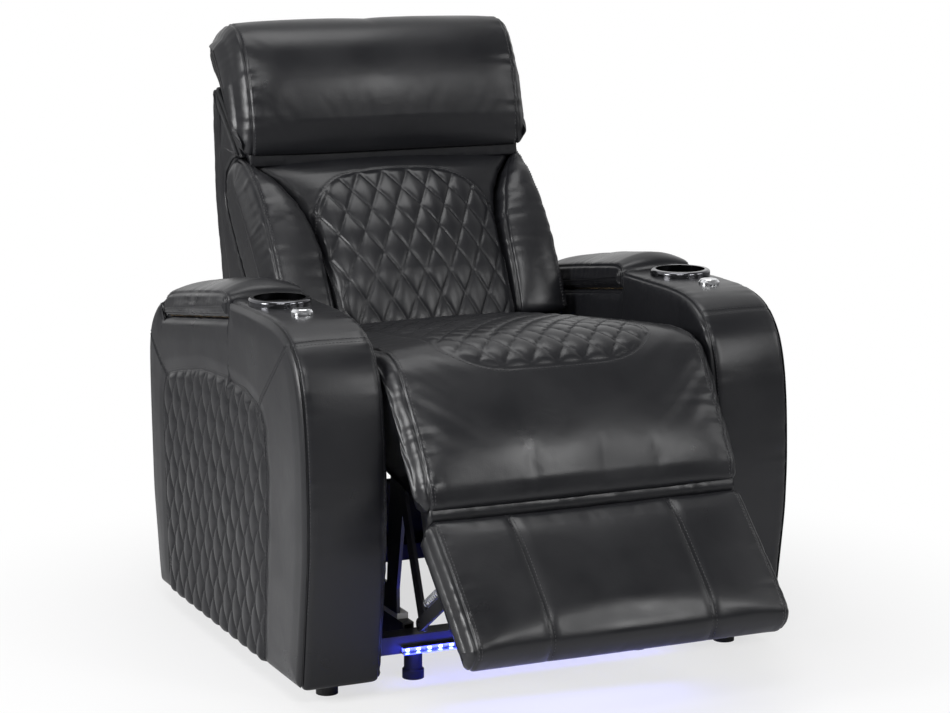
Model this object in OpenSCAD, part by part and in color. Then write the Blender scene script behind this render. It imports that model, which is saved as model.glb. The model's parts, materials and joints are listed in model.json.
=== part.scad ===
// Power reclining cinema seat, shown with its footrest half raised.
// Millimetres, +Z up, the sitter faces -Y. Places along Y are first measured
// from the arm datum, and place() then centres the whole seat on the origin.

/* [Overall] */
// Width over both arms
overall_w = 900; // [840:10:980]
// Width of one arm
arm_w = 150; // [135:5:170]
// Height of the flat top of an arm
arm_h = 624; // [610:2:640]
// Length of an arm from front to rear
arm_depth = 821; // [800:5:840]
// Most forward place of an arm, seen from the arm datum
arm_front_y = -443; // [-450:1:-435]
// Gap between an arm and the floor
floor_gap = 27; // [20:1:30]
// Gap between an arm and the seat at each side
side_gap = 14; // [12:1:18]

/* [Arm details] */
// Radius of the long edges of an arm
arm_edge_r = 16; // [8:1:22]
// Radius of the upright corners of an arm
arm_corner_r = 20; // [8:1:26]
// Thickness of the quilted side panel, over its raised diamonds
quilt_plate_t = 5; // [4:0.5:7]
// Height of a quilt diamond over its seams
quilt_rise = 2.5; // [1.5:0.5:3.5]
// Width of a quilt diamond
diamond_w = 48; // [40:2:60]
// Height of a quilt diamond
diamond_h = 88; // [80:2:100]
// Place of the cup holder along the arm
cup_y = -157; // [-165:1:-150]
// Distance of the cup holder outward from the middle of the arm
cup_out = 5; // [0:1:8]
// Outer diameter of the cup holder's ring
cup_ring_d = 107; // [100:1:112]
// Inner diameter of the cup holder
cup_d = 88; // [80:1:90]
// Depth of the cup holder below the arm's top
cup_depth = 72; // [60:1:90]
// Place of the switch along the arm
switch_y = -263; // [-268:1:-258]
// Diameter of the switch
switch_d = 37; // [32:1:40]
// Width inside the storage well
well_w = 78; // [60:2:84]
// Distance of the storage well from both ends of the lid
well_end = 53; // [50:1:75]
// Depth of the storage well's floor below the arm's top
well_depth = 214; // [150:2:260]
// Wall of the storage tub and of the cup holder
liner_t = 3; // [2:0.5:4]

/* [Lids] */
// Forward end of a lid
lid_front_y = -77; // [-80:1:-70]
// Distance from an arm's rearmost place to the lid's rearward end
lid_rear_in = 105; // [104:1:110]
// Thickness of a lid's pad at its sides
lid_side_t = 38; // [30:1:44]
// Rise of a lid's middle over its sides
lid_crown = 20; // [10:1:26]
// Thickness of a lid's board
lid_board_t = 6; // [4:1:8]

/* [Seat] */
// Height of the seat frame's top
frame_top_z = 425; // [422:1:428]
// Place of the seat nose's centre along Y
nose_y = -356; // [-358:1:-354]
// Height of the seat nose's centre
nose_z = 482; // [480:1:484]
// Radius of the seat nose
nose_r = 87; // [84:1:88]
// Radius of the hollow round the flap's hinge
nose_hollow_r = 52; // [50:1:54]
// Height of the seat cushion at its rear
seat_rear_z = 511; // [505:1:514]
// Rearward end of the seat cushion
seat_rear_y = 148; // [140:1:149]
// Rise of the seat's middle over its sides
seat_crown = 9; // [4:1:10]

/* [Footrest] */
// Tilt of the flap from straight down
flap_tilt = 34; // [33:0.5:35]
// Distance from the flap's hinge down to the footrest's hinge
flap_len = 231; // [228:1:234]
// Distance of the footrest's hinge outward from the flap's hinge
flap_reach = 67; // [66:1:68]
// Distance of the flap's face outward from its hinge
flap_face = 91; // [90:0.5:92]
// Tilt of the footrest from straight down
footrest_tilt = 47.8; // [46:0.2:49]
// Length of the footrest below its hinge
footrest_len = 260; // [250:1:264]
// Height of the footrest's face over its hinge
footrest_face = 10.6; // [10:0.2:12]
// Thickness of the footrest with its board
footrest_t = 60; // [56:1:62]
// Thickness of the footrest's and the flap's boards
board_t = 12; // [10:1:14]

/* [Back] */
// Place of the back's hinge along Y
back_pivot_y = 205; // [200:1:207]
// Height of the back's hinge
back_pivot_z = 412; // [408:1:414]
// Width of a wing at the back's foot
wing_w = 111; // [106:1:121]
// Depth of the back from the middle cushion's foot to its rearmost place
back_depth = 381; // [376:1:384]
// Height of the middle cushion over its foot
back_rise = 276; // [272:1:278]
// Depth of the headrest
head_depth = 190; // [186:1:194]
// Height of the headrest
head_rise = 230; // [226:1:234]
// Rise of the middle cushion's middle over its sides
centre_crown = 26; // [15:1:30]
// Thickness of the back shell's walls
shell_t = 12; // [10:1:14]
// Place of the headrest's hinge along Y
head_pivot_y = 306; // [305:1:308]
// Height of the headrest's hinge
head_pivot_z = 816; // [815:1:818]
// Slope of the headrest's underside
head_slope = 40.3; // [39:0.1:41]
// Forward rise of the headrest's middle
head_crown = 22; // [10:1:26]

/* [Steelwork] */
// Thickness of the mechanism's plates
plate_t = 6; // [5:0.5:7]
// Distance of the base rails' middle from the arms
rail_in = 89; // [88:1:93]
// Height of the base rails' top
rail_top_z = 90; // [85:1:92]
// Height of the feet
foot_h = 50; // [44:1:54]
// Diameter of a foot
foot_d = 37; // [30:1:38]
// Diameter of the torque tube
torque_d = 20; // [16:1:22]
// Place of the torque tube along Y
torque_y = -301; // [-303:1:-299]
// Height of the torque tube
torque_z = 365; // [363:1:367]
// Length of a lower link
lower_link_len = 270.4; // [268:0.2:272]
// Slope of a lower link below the level, at rest
lower_link_slope = 67.6; // [66:0.2:69]
// Width of a lower link
link_w = 24; // [18:1:24]
// Width of an upper link
upper_link_w = 22; // [18:1:22]

/* [Hidden] */

// Curves
$fn = 48;
overrun = 1;
gap = 0.3;
soft_gap = 0.6;
running = 0.3;

// Arm
half_w = overall_w / 2;
arm_in_x = half_w - arm_w;
arm_out_x = half_w - quilt_plate_t;
arm_mid_x = half_w - arm_w / 2;
arm_rise = arm_h - floor_gap;
cup_x = arm_mid_x + cup_out;
seat_half_w = arm_in_x - side_gap;
// Shares of the arm's depth and rise, round its outline
arm_front_shares = [
    [0.046, 0], [0.021, 0.223], [0.004, 0.374], [0, 0.508], [0.003, 0.620], [0.008, 0.710],
    [0.019, 0.800], [0.038, 0.876], [0.062, 0.923], [0.091, 0.958], [0.128, 0.982],
    [0.174, 0.995], [0.235, 1]
];
arm_rear_shares = [
    [0.889, 0.910], [0.925, 0.893], [0.961, 0.854], [0.985, 0.810], [0.997, 0.750],
    [1, 0.685], [0.998, 0.55], [0.989, 0.293], [0.951, 0.025], [0.943, 0]
];
// Slope of the line on which a lid rests
lid_seat_drop = 26;
lid_seat_front_z = arm_h - lid_seat_drop;
lid_seat_fall_share = 0.146;
function lid_seat_z(y) = lid_seat_front_z - (y - lid_front_y) * lid_seat_fall_share;

// Lid
lid_side_in = 2;
lid_hinge_out = 8;
lid_hinge_drop = 51;
lid_half_w = arm_w / 2 - lid_side_in;
lid_rear_y = arm_front_y + arm_depth - lid_rear_in;
lid_hinge_y = lid_rear_y + lid_hinge_out;
lid_hinge_z = arm_h - lid_hinge_drop;
lid_hinge_r = 5;
lid_pin_r = 2;
lid_knuckle_l = 24;
lid_knuckle_x = 42;
lid_leaf_t = 3;
lid_wall_y = lid_hinge_y + lid_hinge_r + gap;
lid_len = lid_rear_y - lid_front_y;
well_l = lid_len - 2 * well_end;
well_forward = 12;

// Cup holder and switch
ring_rise = 12;
ring_edge_r = 5;
bezel_rise = 8;
bezel_depth = 14;
key_travel = 1.5;
key_rise = 2;
bezel_rim = 4;
key_r = switch_d / 2 - bezel_rim;
key_slot = 1.2;

// Base
foot_front_in = 119;
foot_rear_in = 144;
foot_front_y = arm_front_y + foot_front_in;
foot_rear_y = arm_front_y + arm_depth - foot_rear_in;
foot_step_share = 0.3;
foot_taper_share = 0.36;
bar_w = 40;
bar_h = 30;
rail_w = 20;
rail_h = rail_top_z - foot_h;
rail_x = arm_in_x - rail_in;
tube_t = 3;
front_bar_y = foot_front_y - bar_w / 2;
rear_bar_y = foot_rear_y - bar_w / 2;
glide_inset = 60;
led_end = 60;
led_half_l = arm_in_x - led_end;
led_h = 9;
led_d = 12;
diode = 5;
diode_pitch = 20;
diode_out = 2;

// Carriage
shoe_h = 10;
shoe_l = 60;
shoe_front_y = -280;
shoe_rear_y = 120;
plate_bottom_z = rail_top_z + gap + shoe_h;
plate_over = 1;
plate_x = rail_x + (rail_w - plate_t) / 2 + plate_over;
seat_rail_w = 40;
seat_rail_h = 35;
seat_rail_z = frame_top_z - seat_rail_h;
rail_front_in = 11;
rail_rear_in = 18;
seat_front_y = nose_y + rail_front_in;
seat_back_y = seat_rear_y - rail_rear_in;
cross_w = 38;
lower_x = plate_x + plate_t + running;
upper_x = lower_x + plate_t + running;
bracket_x = upper_x + plate_t + running;
fit_play = 0.2;
pivot_r = 8;
web_w = 44;
web_t = 3;
web_count = 6;

// Torque tube, crank and actuator
crank_len = 35;
crank_pin_r = 5;
crank_t = 8;
yoke_t = 5;
yoke_l = 40;
yoke_play = 3;
yoke_slot_w = 2 * crank_pin_r + yoke_play;
crank_rim = 1;
yoke_up = 13;
yoke_down = 9;
drive_d = 14;
tube_d = 34;
tube_setback = 61;
tube_front_y = torque_y + tube_setback;
tube_l = 300;
motor_d = 56;
motor_l = 96;

// Flap and footrest
function flap_d() = [-sin(flap_tilt), -cos(flap_tilt)];
function flap_n() = [-cos(flap_tilt), sin(flap_tilt)];
function flap_at(u, v) = [nose_y, nose_z] + u * flap_d() + v * flap_n();
knee = flap_at(flap_len, flap_reach);
function foot_at(w, h) = knee + w * [-sin(footrest_tilt), -cos(footrest_tilt)]
    + h * [-cos(footrest_tilt), sin(footrest_tilt)];
flap_back = 40;
flap_board_top = 75;
board_to_knee = 41;
flap_board_end = flap_len - board_to_knee;
flap_arm_in = 12;
flap_arm_x = rail_x - flap_arm_in;
flap_arm_w = 30;
knee_r = 8;
knee_pin_r = 4;
hinge_rod_r = 6;
hinge_eye_r = 15;
foot_start = 11;
foot_back = footrest_face - footrest_t;
foot_arm_x = flap_arm_x - 2 * plate_t;
link_pin_w = 90.9;
link_pin_h = -60.8;
channel_x = seat_half_w / 2;
channel_depth = 3.5;
foot_crown = 7;
foot_edge_in = 18;
foot_plate_w = 71;
foot_lug_w = 30;

// Links
function elbow() = [torque_y, torque_z]
    + lower_link_len * [-cos(lower_link_slope), -sin(lower_link_slope)];
link_top = foot_at(link_pin_w, link_pin_h);
link_pin_r = 4;
elbow_play = 2.2;
spring_r = 6;
spring_wire_r = 1.4;
spring_turns = 12;
spring_rise = 21;
spring_ends = [0.2, 0.75];
spring_lug = 8;
function spring_lug_share() = (spring_lug / 2 + spring_wire_r) / norm(link_top - elbow());

// Back
back_front_in = 117;
back_foot_up = 112;
back_front_y = back_pivot_y - back_front_in;
back_foot_z = back_pivot_z + back_foot_up;
shell_in = 2;
former_in = 19;
centre_half_w = seat_half_w - wing_w;
former_x = centre_half_w - former_in;
former_t = 15;
back_board_t = 12;
back_rail_up = 68;
back_rail_back = 57;
back_rail_z = back_pivot_z + back_rail_up;
back_rail_y = back_pivot_y + back_rail_back;
back_rail_w = 38;
back_rail_h = 36;
head_front_in = 15;
head_foot_up = 11;
head_front_y = head_pivot_y - head_front_in;
head_foot_z = head_pivot_z + head_foot_up;
head_board_t = 10;
head_board_in = 14;
head_board_w = 182;
head_board_end = 24;
head_board_cut = 6;
head_pad_over = 12;
head_leaf_l = 60;
head_play = 1;
head_lift = 1;
head_leaf_t = 3;
head_eye_r = 6.5;
head_pin_r = 3;
head_eye_in = 96;
head_eye_x = seat_half_w - head_eye_in;
head_eye_l = 36;
bracket_eye_r = 20;

// The seat stands with the middle of its length on the origin
back_edge = 1;
front_y = foot_at(footrest_len, 0)[0];
back_y = head_front_y + head_depth + back_edge;
origin_shift_y = -(front_y + back_y) / 2;
module place() translate([0, origin_shift_y, 0]) children();

// Draws an outline given in [y, z] as a slab from x0 to x1
module slab(x0, x1) translate([x0, 0, 0]) rotate([90, 0, 90]) linear_extrude(x1 - x0) children();
// The same slab at the left and at the right
module both_slabs(x, t) {
    slab(x - t / 2, x + t / 2) children();
    slab(-x - t / 2, -x + t / 2) children();
}
// A rod along X through a point given in [y, z]
module rod(at, r, x0, x1) translate([x0, at[0], at[1]]) rotate([0, 90, 0]) cylinder(r = r, h = x1 - x0);
// A straight bar with round ends between two points of a plane
module bar_outline(a, b, w) hull() {
    translate(a) circle(d = w, $fn = 32);
    translate(b) circle(d = w, $fn = 32);
}
// A straight bar drawn as a rectangle and two discs, so that its ends stay round
module link_outline(a, b, w) {
    run = norm(b - a);
    translate(a) circle(d = w);
    translate(b) circle(d = w);
    translate(a) rotate(atan2(b[1] - a[1], b[0] - a[0])) translate([0, -w / 2]) square([run, w]);
}
module box(from, to) translate(from) cube(to - from);

// Soft forms. A loop is a list of [y, z, share of rounding, share of crown],
// counter-clockwise seen from +X.
function wrap(i, n) = (i + n) % n;
function unit(v) = norm(v) > 0 ? v / norm(v) : v;
function along(loop, j) =
    let (n = len(loop), a = loop[wrap(j - 1, n)], b = loop[wrap(j + 1, n)])
    unit([b[0] - a[0], b[1] - a[1]]);
function out_of(loop, j) = let (t = along(loop, j)) [t[1], -t[0]];
// How far a round edge of radius r draws in at distance d from the end
function round_in(d, r) = d >= r ? 0 : r - sqrt(max(0, r * r - (r - d) * (r - d)));
function ring_at(loop, x, half, r, crown, extra) = [
    for (j = [0:len(loop) - 1])
        let (p = loop[j], n = out_of(loop, j), s = x / half,
             push = crown * p[3] * (1 - s * s) - p[2] * round_in(half - abs(x), r) + extra(x, j))
        [x, p[0] + n[0] * push, p[1] + n[1] * push]
];
edge_share = 0.3;
function even_steps(half, r, count) = [
    -half, -half + edge_share * r,
    for (i = [0:count]) -(half - r) + 2 * (half - r) * i / count,
    half - edge_share * r, half
];
// A closed skin over rings of points. Squares are cut along the diagonal that
// joins the low corners of a quilt.
module skin(rings, cap = "flat") {
    n = len(rings[0]);
    m = len(rings);
    function id(i, j) = i * n + wrap(j, n);
    function middle(ring) = [for (k = [0:2]) (min([for (p = ring) p[k]]) + max([for (p = ring) p[k]])) / 2];
    points = [for (r = rings) each r, middle(rings[0]), middle(rings[m - 1])];
    sides = [for (i = [0:m - 2], j = [0:n - 1])
        each ((i + j) % 2 == 0
            ? [[id(i, j), id(i + 1, j), id(i, j + 1)], [id(i, j + 1), id(i + 1, j), id(i + 1, j + 1)]]
            : [[id(i, j), id(i + 1, j), id(i + 1, j + 1)], [id(i, j), id(i + 1, j + 1), id(i, j + 1)]])];
    flat_caps = [[for (j = [0:n - 1]) j], [for (j = [n - 1:-1:0]) id(m - 1, j)]];
    fans = [for (j = [0:n - 1]) each [[m * n, j, wrap(j + 1, n)],
        [m * n + 1, id(m - 1, j + 1), id(m - 1, j)]]];
    polyhedron(points = cap == "flat" ? [for (r = rings) each r] : points,
        faces = concat(sides, cap == "flat" ? flat_caps : fans), convexity = 6);
}
no_extra = function(x, j) 0;

// Arms
module arm_outline() polygon([
    for (s = arm_front_shares) [arm_front_y + s[0] * arm_depth, floor_gap + s[1] * arm_rise],
    [lid_front_y - gap, arm_h],
    [lid_front_y - gap, lid_seat_z(lid_front_y) - lid_board_t - gap],
    [lid_wall_y, lid_seat_z(lid_wall_y) - lid_board_t - gap],
    for (s = arm_rear_shares) [arm_front_y + s[0] * arm_depth, floor_gap + s[1] * arm_rise]
]);
module arm_body(side) color([0.09, 0.09, 0.1]) place() scale([side, 1, 1]) difference() {
    intersection() {
        slab(arm_in_x, arm_out_x) arm_outline();
        rotate([90, 0, 0]) translate([0, 0, -arm_front_y - arm_depth - overrun])
            linear_extrude(arm_depth + 2 * overrun) translate([arm_in_x, 0])
            rounded_top(arm_out_x - arm_in_x, arm_h, arm_edge_r);
        translate([arm_in_x, arm_front_y - overrun, 0]) linear_extrude(arm_h + overrun)
            translate([0, overrun]) rounded_plan(arm_out_x - arm_in_x, arm_depth, arm_corner_r);
    }
    translate([cup_x, cup_y, arm_h - cup_depth - liner_t - gap])
        cylinder(d = cup_d + 2 * (liner_t + gap), h = cup_depth + 2 * liner_t + overrun);
    translate([cup_x, switch_y, arm_h - bezel_depth - gap])
        cylinder(d = switch_d - 2 * liner_t + 2 * gap, h = bezel_depth + 2 * overrun);
    box([arm_mid_x - well_w / 2 - liner_t - gap, well_y() - liner_t - gap,
            arm_h - well_depth - liner_t - gap],
        [arm_mid_x + well_w / 2 + liner_t + gap, well_y() + well_l + liner_t + gap, arm_h + overrun]);
}
function well_y() = (lid_front_y + lid_rear_y - well_l) / 2 - well_forward;
module rounded_top(w, h, r) {
    square([w, h - r]);
    translate([r, 0]) square([w - 2 * r, h]);
    for (x = [r, w - r]) translate([x, h - r]) circle(r = r);
}
module rounded_plan(w, l, r) {
    translate([0, r]) square([w, l - 2 * r]);
    translate([r, 0]) square([w - 2 * r, l]);
    for (x = [r, w - r], y = [r, l - r]) translate([x, y]) circle(r = r);
}
module left_arm_body() arm_body(-1);
module right_arm_body() arm_body(1);

// The quilted panel's outline, as shares of the arm's depth and rise
quilt_arch_shares = [
    [0.247, 0], [0.232, 0.2], [0.217, 0.40], [0.215, 0.56], [0.226, 0.68], [0.244, 0.722],
    [0.272, 0.742], [0.34, 0.764], [0.46, 0.771], [0.62, 0.759], [0.79, 0.714],
    [0.86, 0.690], [0.882, 0.62], [0.884, 0.5], [0.880, 0.28], [0.868, 0.1], [0.858, 0]
];
quilt_from_share = 0.21;
quilt_run_share = 0.67;
quilt_up_share = 0.78;
module quilt_panel(side) color([0.12, 0.12, 0.13]) place() scale([side, 1, 1]) intersection() {
    cols = ceil(arm_depth * quilt_run_share / (diamond_w / 2)) + 1;
    rows = ceil(arm_rise * quilt_up_share / (diamond_h / 2)) + 1;
    y0 = arm_front_y + arm_depth * quilt_from_share;
    skin([for (i = [0:cols]) concat(
        [for (j = [rows:-1:0])
            [half_w - (i + j) % 2 * quilt_rise, y0 + i * diamond_w / 2, floor_gap + j * diamond_h / 2]],
        [[arm_out_x, y0 + i * diamond_w / 2, floor_gap],
         [arm_out_x, y0 + i * diamond_w / 2, floor_gap + rows * diamond_h / 2]])]);
    slab(arm_out_x - overrun, half_w + overrun) polygon([
        for (s = quilt_arch_shares) [arm_front_y + s[0] * arm_depth, floor_gap + s[1] * arm_rise]]);
}
module left_arm_quilt() quilt_panel(-1);
module right_arm_quilt() quilt_panel(1);

module storage_tub(side) color([0.06, 0.06, 0.06]) place() scale([side, 1, 1]) {
    top = lid_seat_z(well_y() + well_l + 2 * liner_t) - lid_board_t - 2 * gap;
    difference() {
        box([arm_mid_x - well_w / 2 - liner_t, well_y() - liner_t, arm_h - well_depth - liner_t],
            [arm_mid_x + well_w / 2 + liner_t, well_y() + well_l + liner_t, top]);
        box([arm_mid_x - well_w / 2, well_y(), arm_h - well_depth],
            [arm_mid_x + well_w / 2, well_y() + well_l, top + overrun]);
    }
}
module left_storage_tub() storage_tub(-1);
module right_storage_tub() storage_tub(1);

module cup_liner(side) color([0.05, 0.05, 0.05]) place() translate([side * cup_x, cup_y, arm_h])
    rotate_extrude() polygon([
        [0, -cup_depth - liner_t], [cup_d / 2 + liner_t, -cup_depth - liner_t],
        [cup_d / 2 + liner_t, -gap], [cup_d / 2, -gap], [cup_d / 2, -cup_depth], [0, -cup_depth]]);
module left_cup_liner() cup_liner(-1);
module right_cup_liner() cup_liner(1);

module cup_ring(side) color([0.25, 0.25, 0.27]) place() translate([side * cup_x, cup_y, arm_h])
    rotate_extrude() {
        difference() {
            translate([cup_d / 2, 0]) square([cup_ring_d / 2 - cup_d / 2, ring_rise]);
            translate([cup_ring_d / 2 - ring_edge_r, ring_rise - ring_edge_r]) difference() {
                square(ring_edge_r + overrun);
                circle(r = ring_edge_r);
            }
        }
    }
module left_cup_ring() cup_ring(-1);
module right_cup_ring() cup_ring(1);

module switch_bezel(side) color([0.75, 0.76, 0.78]) place() translate([side * cup_x, switch_y, arm_h])
    difference() {
        rotate_extrude() polygon([
            [0, -bezel_depth], [switch_d / 2 - liner_t, -bezel_depth], [switch_d / 2 - liner_t, 0],
            [switch_d / 2, 0], [switch_d / 2, bezel_rise / 2], [switch_d / 2 - liner_t, bezel_rise],
            [0, bezel_rise]]);
        translate([0, 0, bezel_rise - key_rise - 2 * key_travel])
            cylinder(r = key_r + key_slot / 2, h = bezel_depth);
    }
module left_switch_bezel() switch_bezel(-1);
module right_switch_bezel() switch_bezel(1);

// A half-moon key, the forward one or the rearward one of a switch
module half_moon_key(side, way) color([0.85, 0.85, 0.86]) place()
    translate([side * cup_x, switch_y, arm_h + bezel_rise - key_rise]) intersection() {
        rotate_extrude() polygon([[0, 0], [key_r, 0], [key_r, key_rise],
            [key_r - key_rise / 2, key_rise + key_travel / 2], [0, key_rise + key_travel]]);
        translate([-key_r, way > 0 ? key_slot / 2 : -key_slot / 2 - key_r, -overrun])
            cube([2 * key_r, key_r, bezel_depth]);
    }
module left_recline_key() half_moon_key(-1, 1);
module left_return_key() half_moon_key(-1, -1);
module right_recline_key() half_moon_key(1, 1);
module right_return_key() half_moon_key(1, -1);

// Lids
lid_top_share = 0.9;
lid_top_shares = [[1, 0.2], [0.985, 0.68], [0.9, 0.92], [0.75, 1], [0.58, 1], [0.4, 1],
    [0.25, 1], [0.12, 1], [0.05, 0.97], [0.012, 0.82], [0, 0.5]];
module lid_pad(side) color([0.1, 0.1, 0.11]) place() translate([side * arm_mid_x, 0, 0]) {
    top = [for (s = lid_top_shares) let (y = lid_front_y + s[0] * lid_len)
        [y, lid_seat_z(y) + s[1] * lid_side_t, 1, s[1] > lid_top_share ? 1 : 0]];
    loop = concat([[lid_front_y, lid_seat_z(lid_front_y), edge_share, 0],
        [lid_front_y + lid_len / 2, lid_seat_z(lid_front_y + lid_len / 2), 0, 0],
        [lid_rear_y, lid_seat_z(lid_rear_y), edge_share, 0]], top);
    skin([for (x = even_steps(lid_half_w, arm_edge_r, 8))
        ring_at(loop, x, lid_half_w, arm_edge_r, lid_crown, no_extra)]);
}
module left_lid_pad() lid_pad(-1);
module right_lid_pad() lid_pad(1);

module lid_board(side) color([0.35, 0.27, 0.18]) place() translate([side * arm_mid_x, 0, 0]) {
    y0 = lid_front_y + arm_edge_r;
    y1 = lid_hinge_y - lid_hinge_r;
    slab(-lid_half_w + arm_edge_r, lid_half_w - arm_edge_r) polygon([
        [y0, lid_seat_z(y0) - lid_board_t], [y1, lid_seat_z(y1) - lid_board_t],
        [y1, lid_seat_z(y1) - soft_gap], [y0, lid_seat_z(y0) - soft_gap]]);
    for (x = [-1, 1] * lid_knuckle_x) difference() {
        slab(x - lid_knuckle_l / 2, x + lid_knuckle_l / 2) {
            translate([lid_hinge_y, lid_hinge_z]) circle(r = lid_hinge_r);
            translate([y1, lid_seat_z(y1) - lid_board_t])
                square([lid_leaf_t, lid_hinge_z - lid_seat_z(y1) + lid_board_t]);
        }
        rod([lid_hinge_y, lid_hinge_z], lid_pin_r + running / 2,
            x - lid_knuckle_l / 2 - overrun, x + lid_knuckle_l / 2 + overrun);
    }
}
module left_lid_board() lid_board(-1);
module right_lid_board() lid_board(1);

module lid_hinges() color([0.6, 0.6, 0.62]) place()
    for (side = [-1, 1]) translate([side * arm_mid_x, 0, 0]) {
    inner = lid_knuckle_x - lid_knuckle_l / 2 - running;
    rod([lid_hinge_y, lid_hinge_z], lid_pin_r, -lid_knuckle_x - lid_knuckle_l / 2,
        lid_knuckle_x + lid_knuckle_l / 2);
    slab(-inner, inner) {
        translate([lid_hinge_y, lid_hinge_z]) circle(r = lid_hinge_r);
        translate([lid_wall_y - gap - lid_leaf_t, lid_seat_z(lid_wall_y) - lid_board_t])
            square([lid_leaf_t, lid_hinge_z - lid_seat_z(lid_wall_y) + lid_board_t]);
    }
}

// Base
module arm_glides() color([0.05, 0.05, 0.05]) place() for (side = [-1, 1],
    y = [arm_front_y + glide_inset + foot_d, arm_front_y + arm_depth - 2 * glide_inset])
    translate([side * arm_mid_x, y, 0]) cylinder(d = foot_d, h = floor_gap);
module base_feet() color([0.05, 0.05, 0.05]) place() for (side = [-1, 1], y = [foot_front_y, foot_rear_y])
    translate([side * rail_x, y, 0]) rotate_extrude() polygon([
        [0, 0], [foot_d / 2, 0], [foot_d / 2, foot_h * foot_step_share],
        [foot_d / 2 - liner_t, foot_h * foot_taper_share],
        [foot_d / 2 - liner_t, foot_h], [0, foot_h]]);
module hollow_bar(from, size, axis) difference() {
    translate(from) cube(size);
    translate([for (k = [0:2]) k == axis ? from[k] - overrun : from[k] + tube_t])
        cube([for (k = [0:2]) k == axis ? size[k] + 2 * overrun : size[k] - 2 * tube_t]);
}
module base_side_rails() color([0.12, 0.12, 0.12]) place() for (side = [-1, 1])
    hollow_bar([side * rail_x - rail_w / 2, front_bar_y + bar_w, foot_h],
        [rail_w, rear_bar_y - front_bar_y - bar_w, rail_h], 1);
module front_crossbar() color([0.1, 0.1, 0.1]) place()
    hollow_bar([-arm_in_x, front_bar_y, foot_h], [2 * arm_in_x, bar_w, bar_h], 0);
module rear_crossbar() color([0.1, 0.1, 0.1]) place()
    hollow_bar([-arm_in_x, rear_bar_y, foot_h], [2 * arm_in_x, bar_w, bar_h], 0);
module led_channel() color([0.8, 0.8, 0.82]) place()
    slab(-led_half_l, led_half_l) difference() {
        translate([front_bar_y - led_d, foot_h]) square([led_d, led_h + liner_t]);
        translate([front_bar_y - led_d - overrun, foot_h + liner_t / 2])
            square([led_d - liner_t / 2 + overrun, led_h]);
    }
module led_diodes() color([0.55, 0.7, 1]) place()
    for (x = [-led_half_l + diode_pitch / 2:diode_pitch:led_half_l])
    box([x - diode / 2, front_bar_y - liner_t / 2 - diode_out, foot_h + liner_t / 2 + diode_out],
        [x + diode / 2, front_bar_y - liner_t / 2, foot_h + liner_t / 2 + diode_out + diode]);

// Carriage
module slide_shoes() color([0.85, 0.84, 0.8]) place() for (side = [-1, 1], y = [shoe_front_y, shoe_rear_y])
    box([side * rail_x - rail_w / 2, y, rail_top_z + gap],
        [side * rail_x + rail_w / 2, y + shoe_l, plate_bottom_z]);
module side_plates() color([0.16, 0.16, 0.17]) place() difference() {
    both_slabs(plate_x, plate_t) difference() {
        union() {
            polygon([[shoe_front_y, plate_bottom_z], [shoe_rear_y + shoe_l, plate_bottom_z],
                [shoe_rear_y + shoe_l, plate_bottom_z + web_w], [back_pivot_y + bracket_eye_r, back_pivot_z],
                [back_pivot_y - bracket_eye_r, back_pivot_z], [seat_back_y + gap, seat_rail_z],
                [seat_front_y, seat_rail_z], [torque_y - torque_d, torque_z - torque_d],
                [shoe_front_y, plate_bottom_z + web_w]]);
            translate([back_pivot_y, back_pivot_z]) circle(r = bracket_eye_r);
        }
        polygon([[shoe_front_y + web_w, plate_bottom_z + web_w], [-web_w, plate_bottom_z + web_w],
            [-web_w, seat_rail_z - web_w], [torque_y + web_w, seat_rail_z - web_w]]);
        polygon([[0, plate_bottom_z + web_w], [shoe_rear_y, plate_bottom_z + web_w],
            [seat_back_y - web_w / 4, seat_rail_z - web_w], [0, seat_rail_z - web_w]]);
    }
    rod([torque_y, torque_z], torque_d / 2 + running, -half_w, half_w);
    rod([back_pivot_y, back_pivot_z], pivot_r + running, -half_w, half_w);
}
module seat_side_rails() color([0.4, 0.3, 0.2]) place() for (side = [-1, 1])
    hollow_bar([side * (plate_x - plate_t / 2 + seat_rail_w / 2) - seat_rail_w / 2, seat_front_y,
        seat_rail_z], [seat_rail_w, seat_back_y - seat_front_y, seat_rail_h], 1);
module seat_front_rail() color([0.4, 0.3, 0.2]) place()
    hollow_bar([-plate_x + plate_t / 2, seat_front_y, seat_rail_z],
        [2 * plate_x - plate_t, cross_w, seat_rail_h], 0);
module seat_rear_rail() color([0.4, 0.3, 0.2]) place()
    hollow_bar([-plate_x + plate_t / 2, seat_back_y - cross_w, seat_rail_z],
        [2 * plate_x - plate_t, cross_w, seat_rail_h], 0);
module seat_webbing() color([0.15, 0.15, 0.15]) place() {
    from = seat_front_y + cross_w;
    to = seat_back_y - cross_w;
    span = to - from;
    pitch = (2 * plate_x - plate_t) / web_count;
    for (i = [0:web_count - 1]) translate([-plate_x + plate_t / 2 + (i + 0.5) * pitch - web_w / 2, from,
        frame_top_z - 2 * web_t]) cube([web_w, span, web_t]);
}
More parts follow.
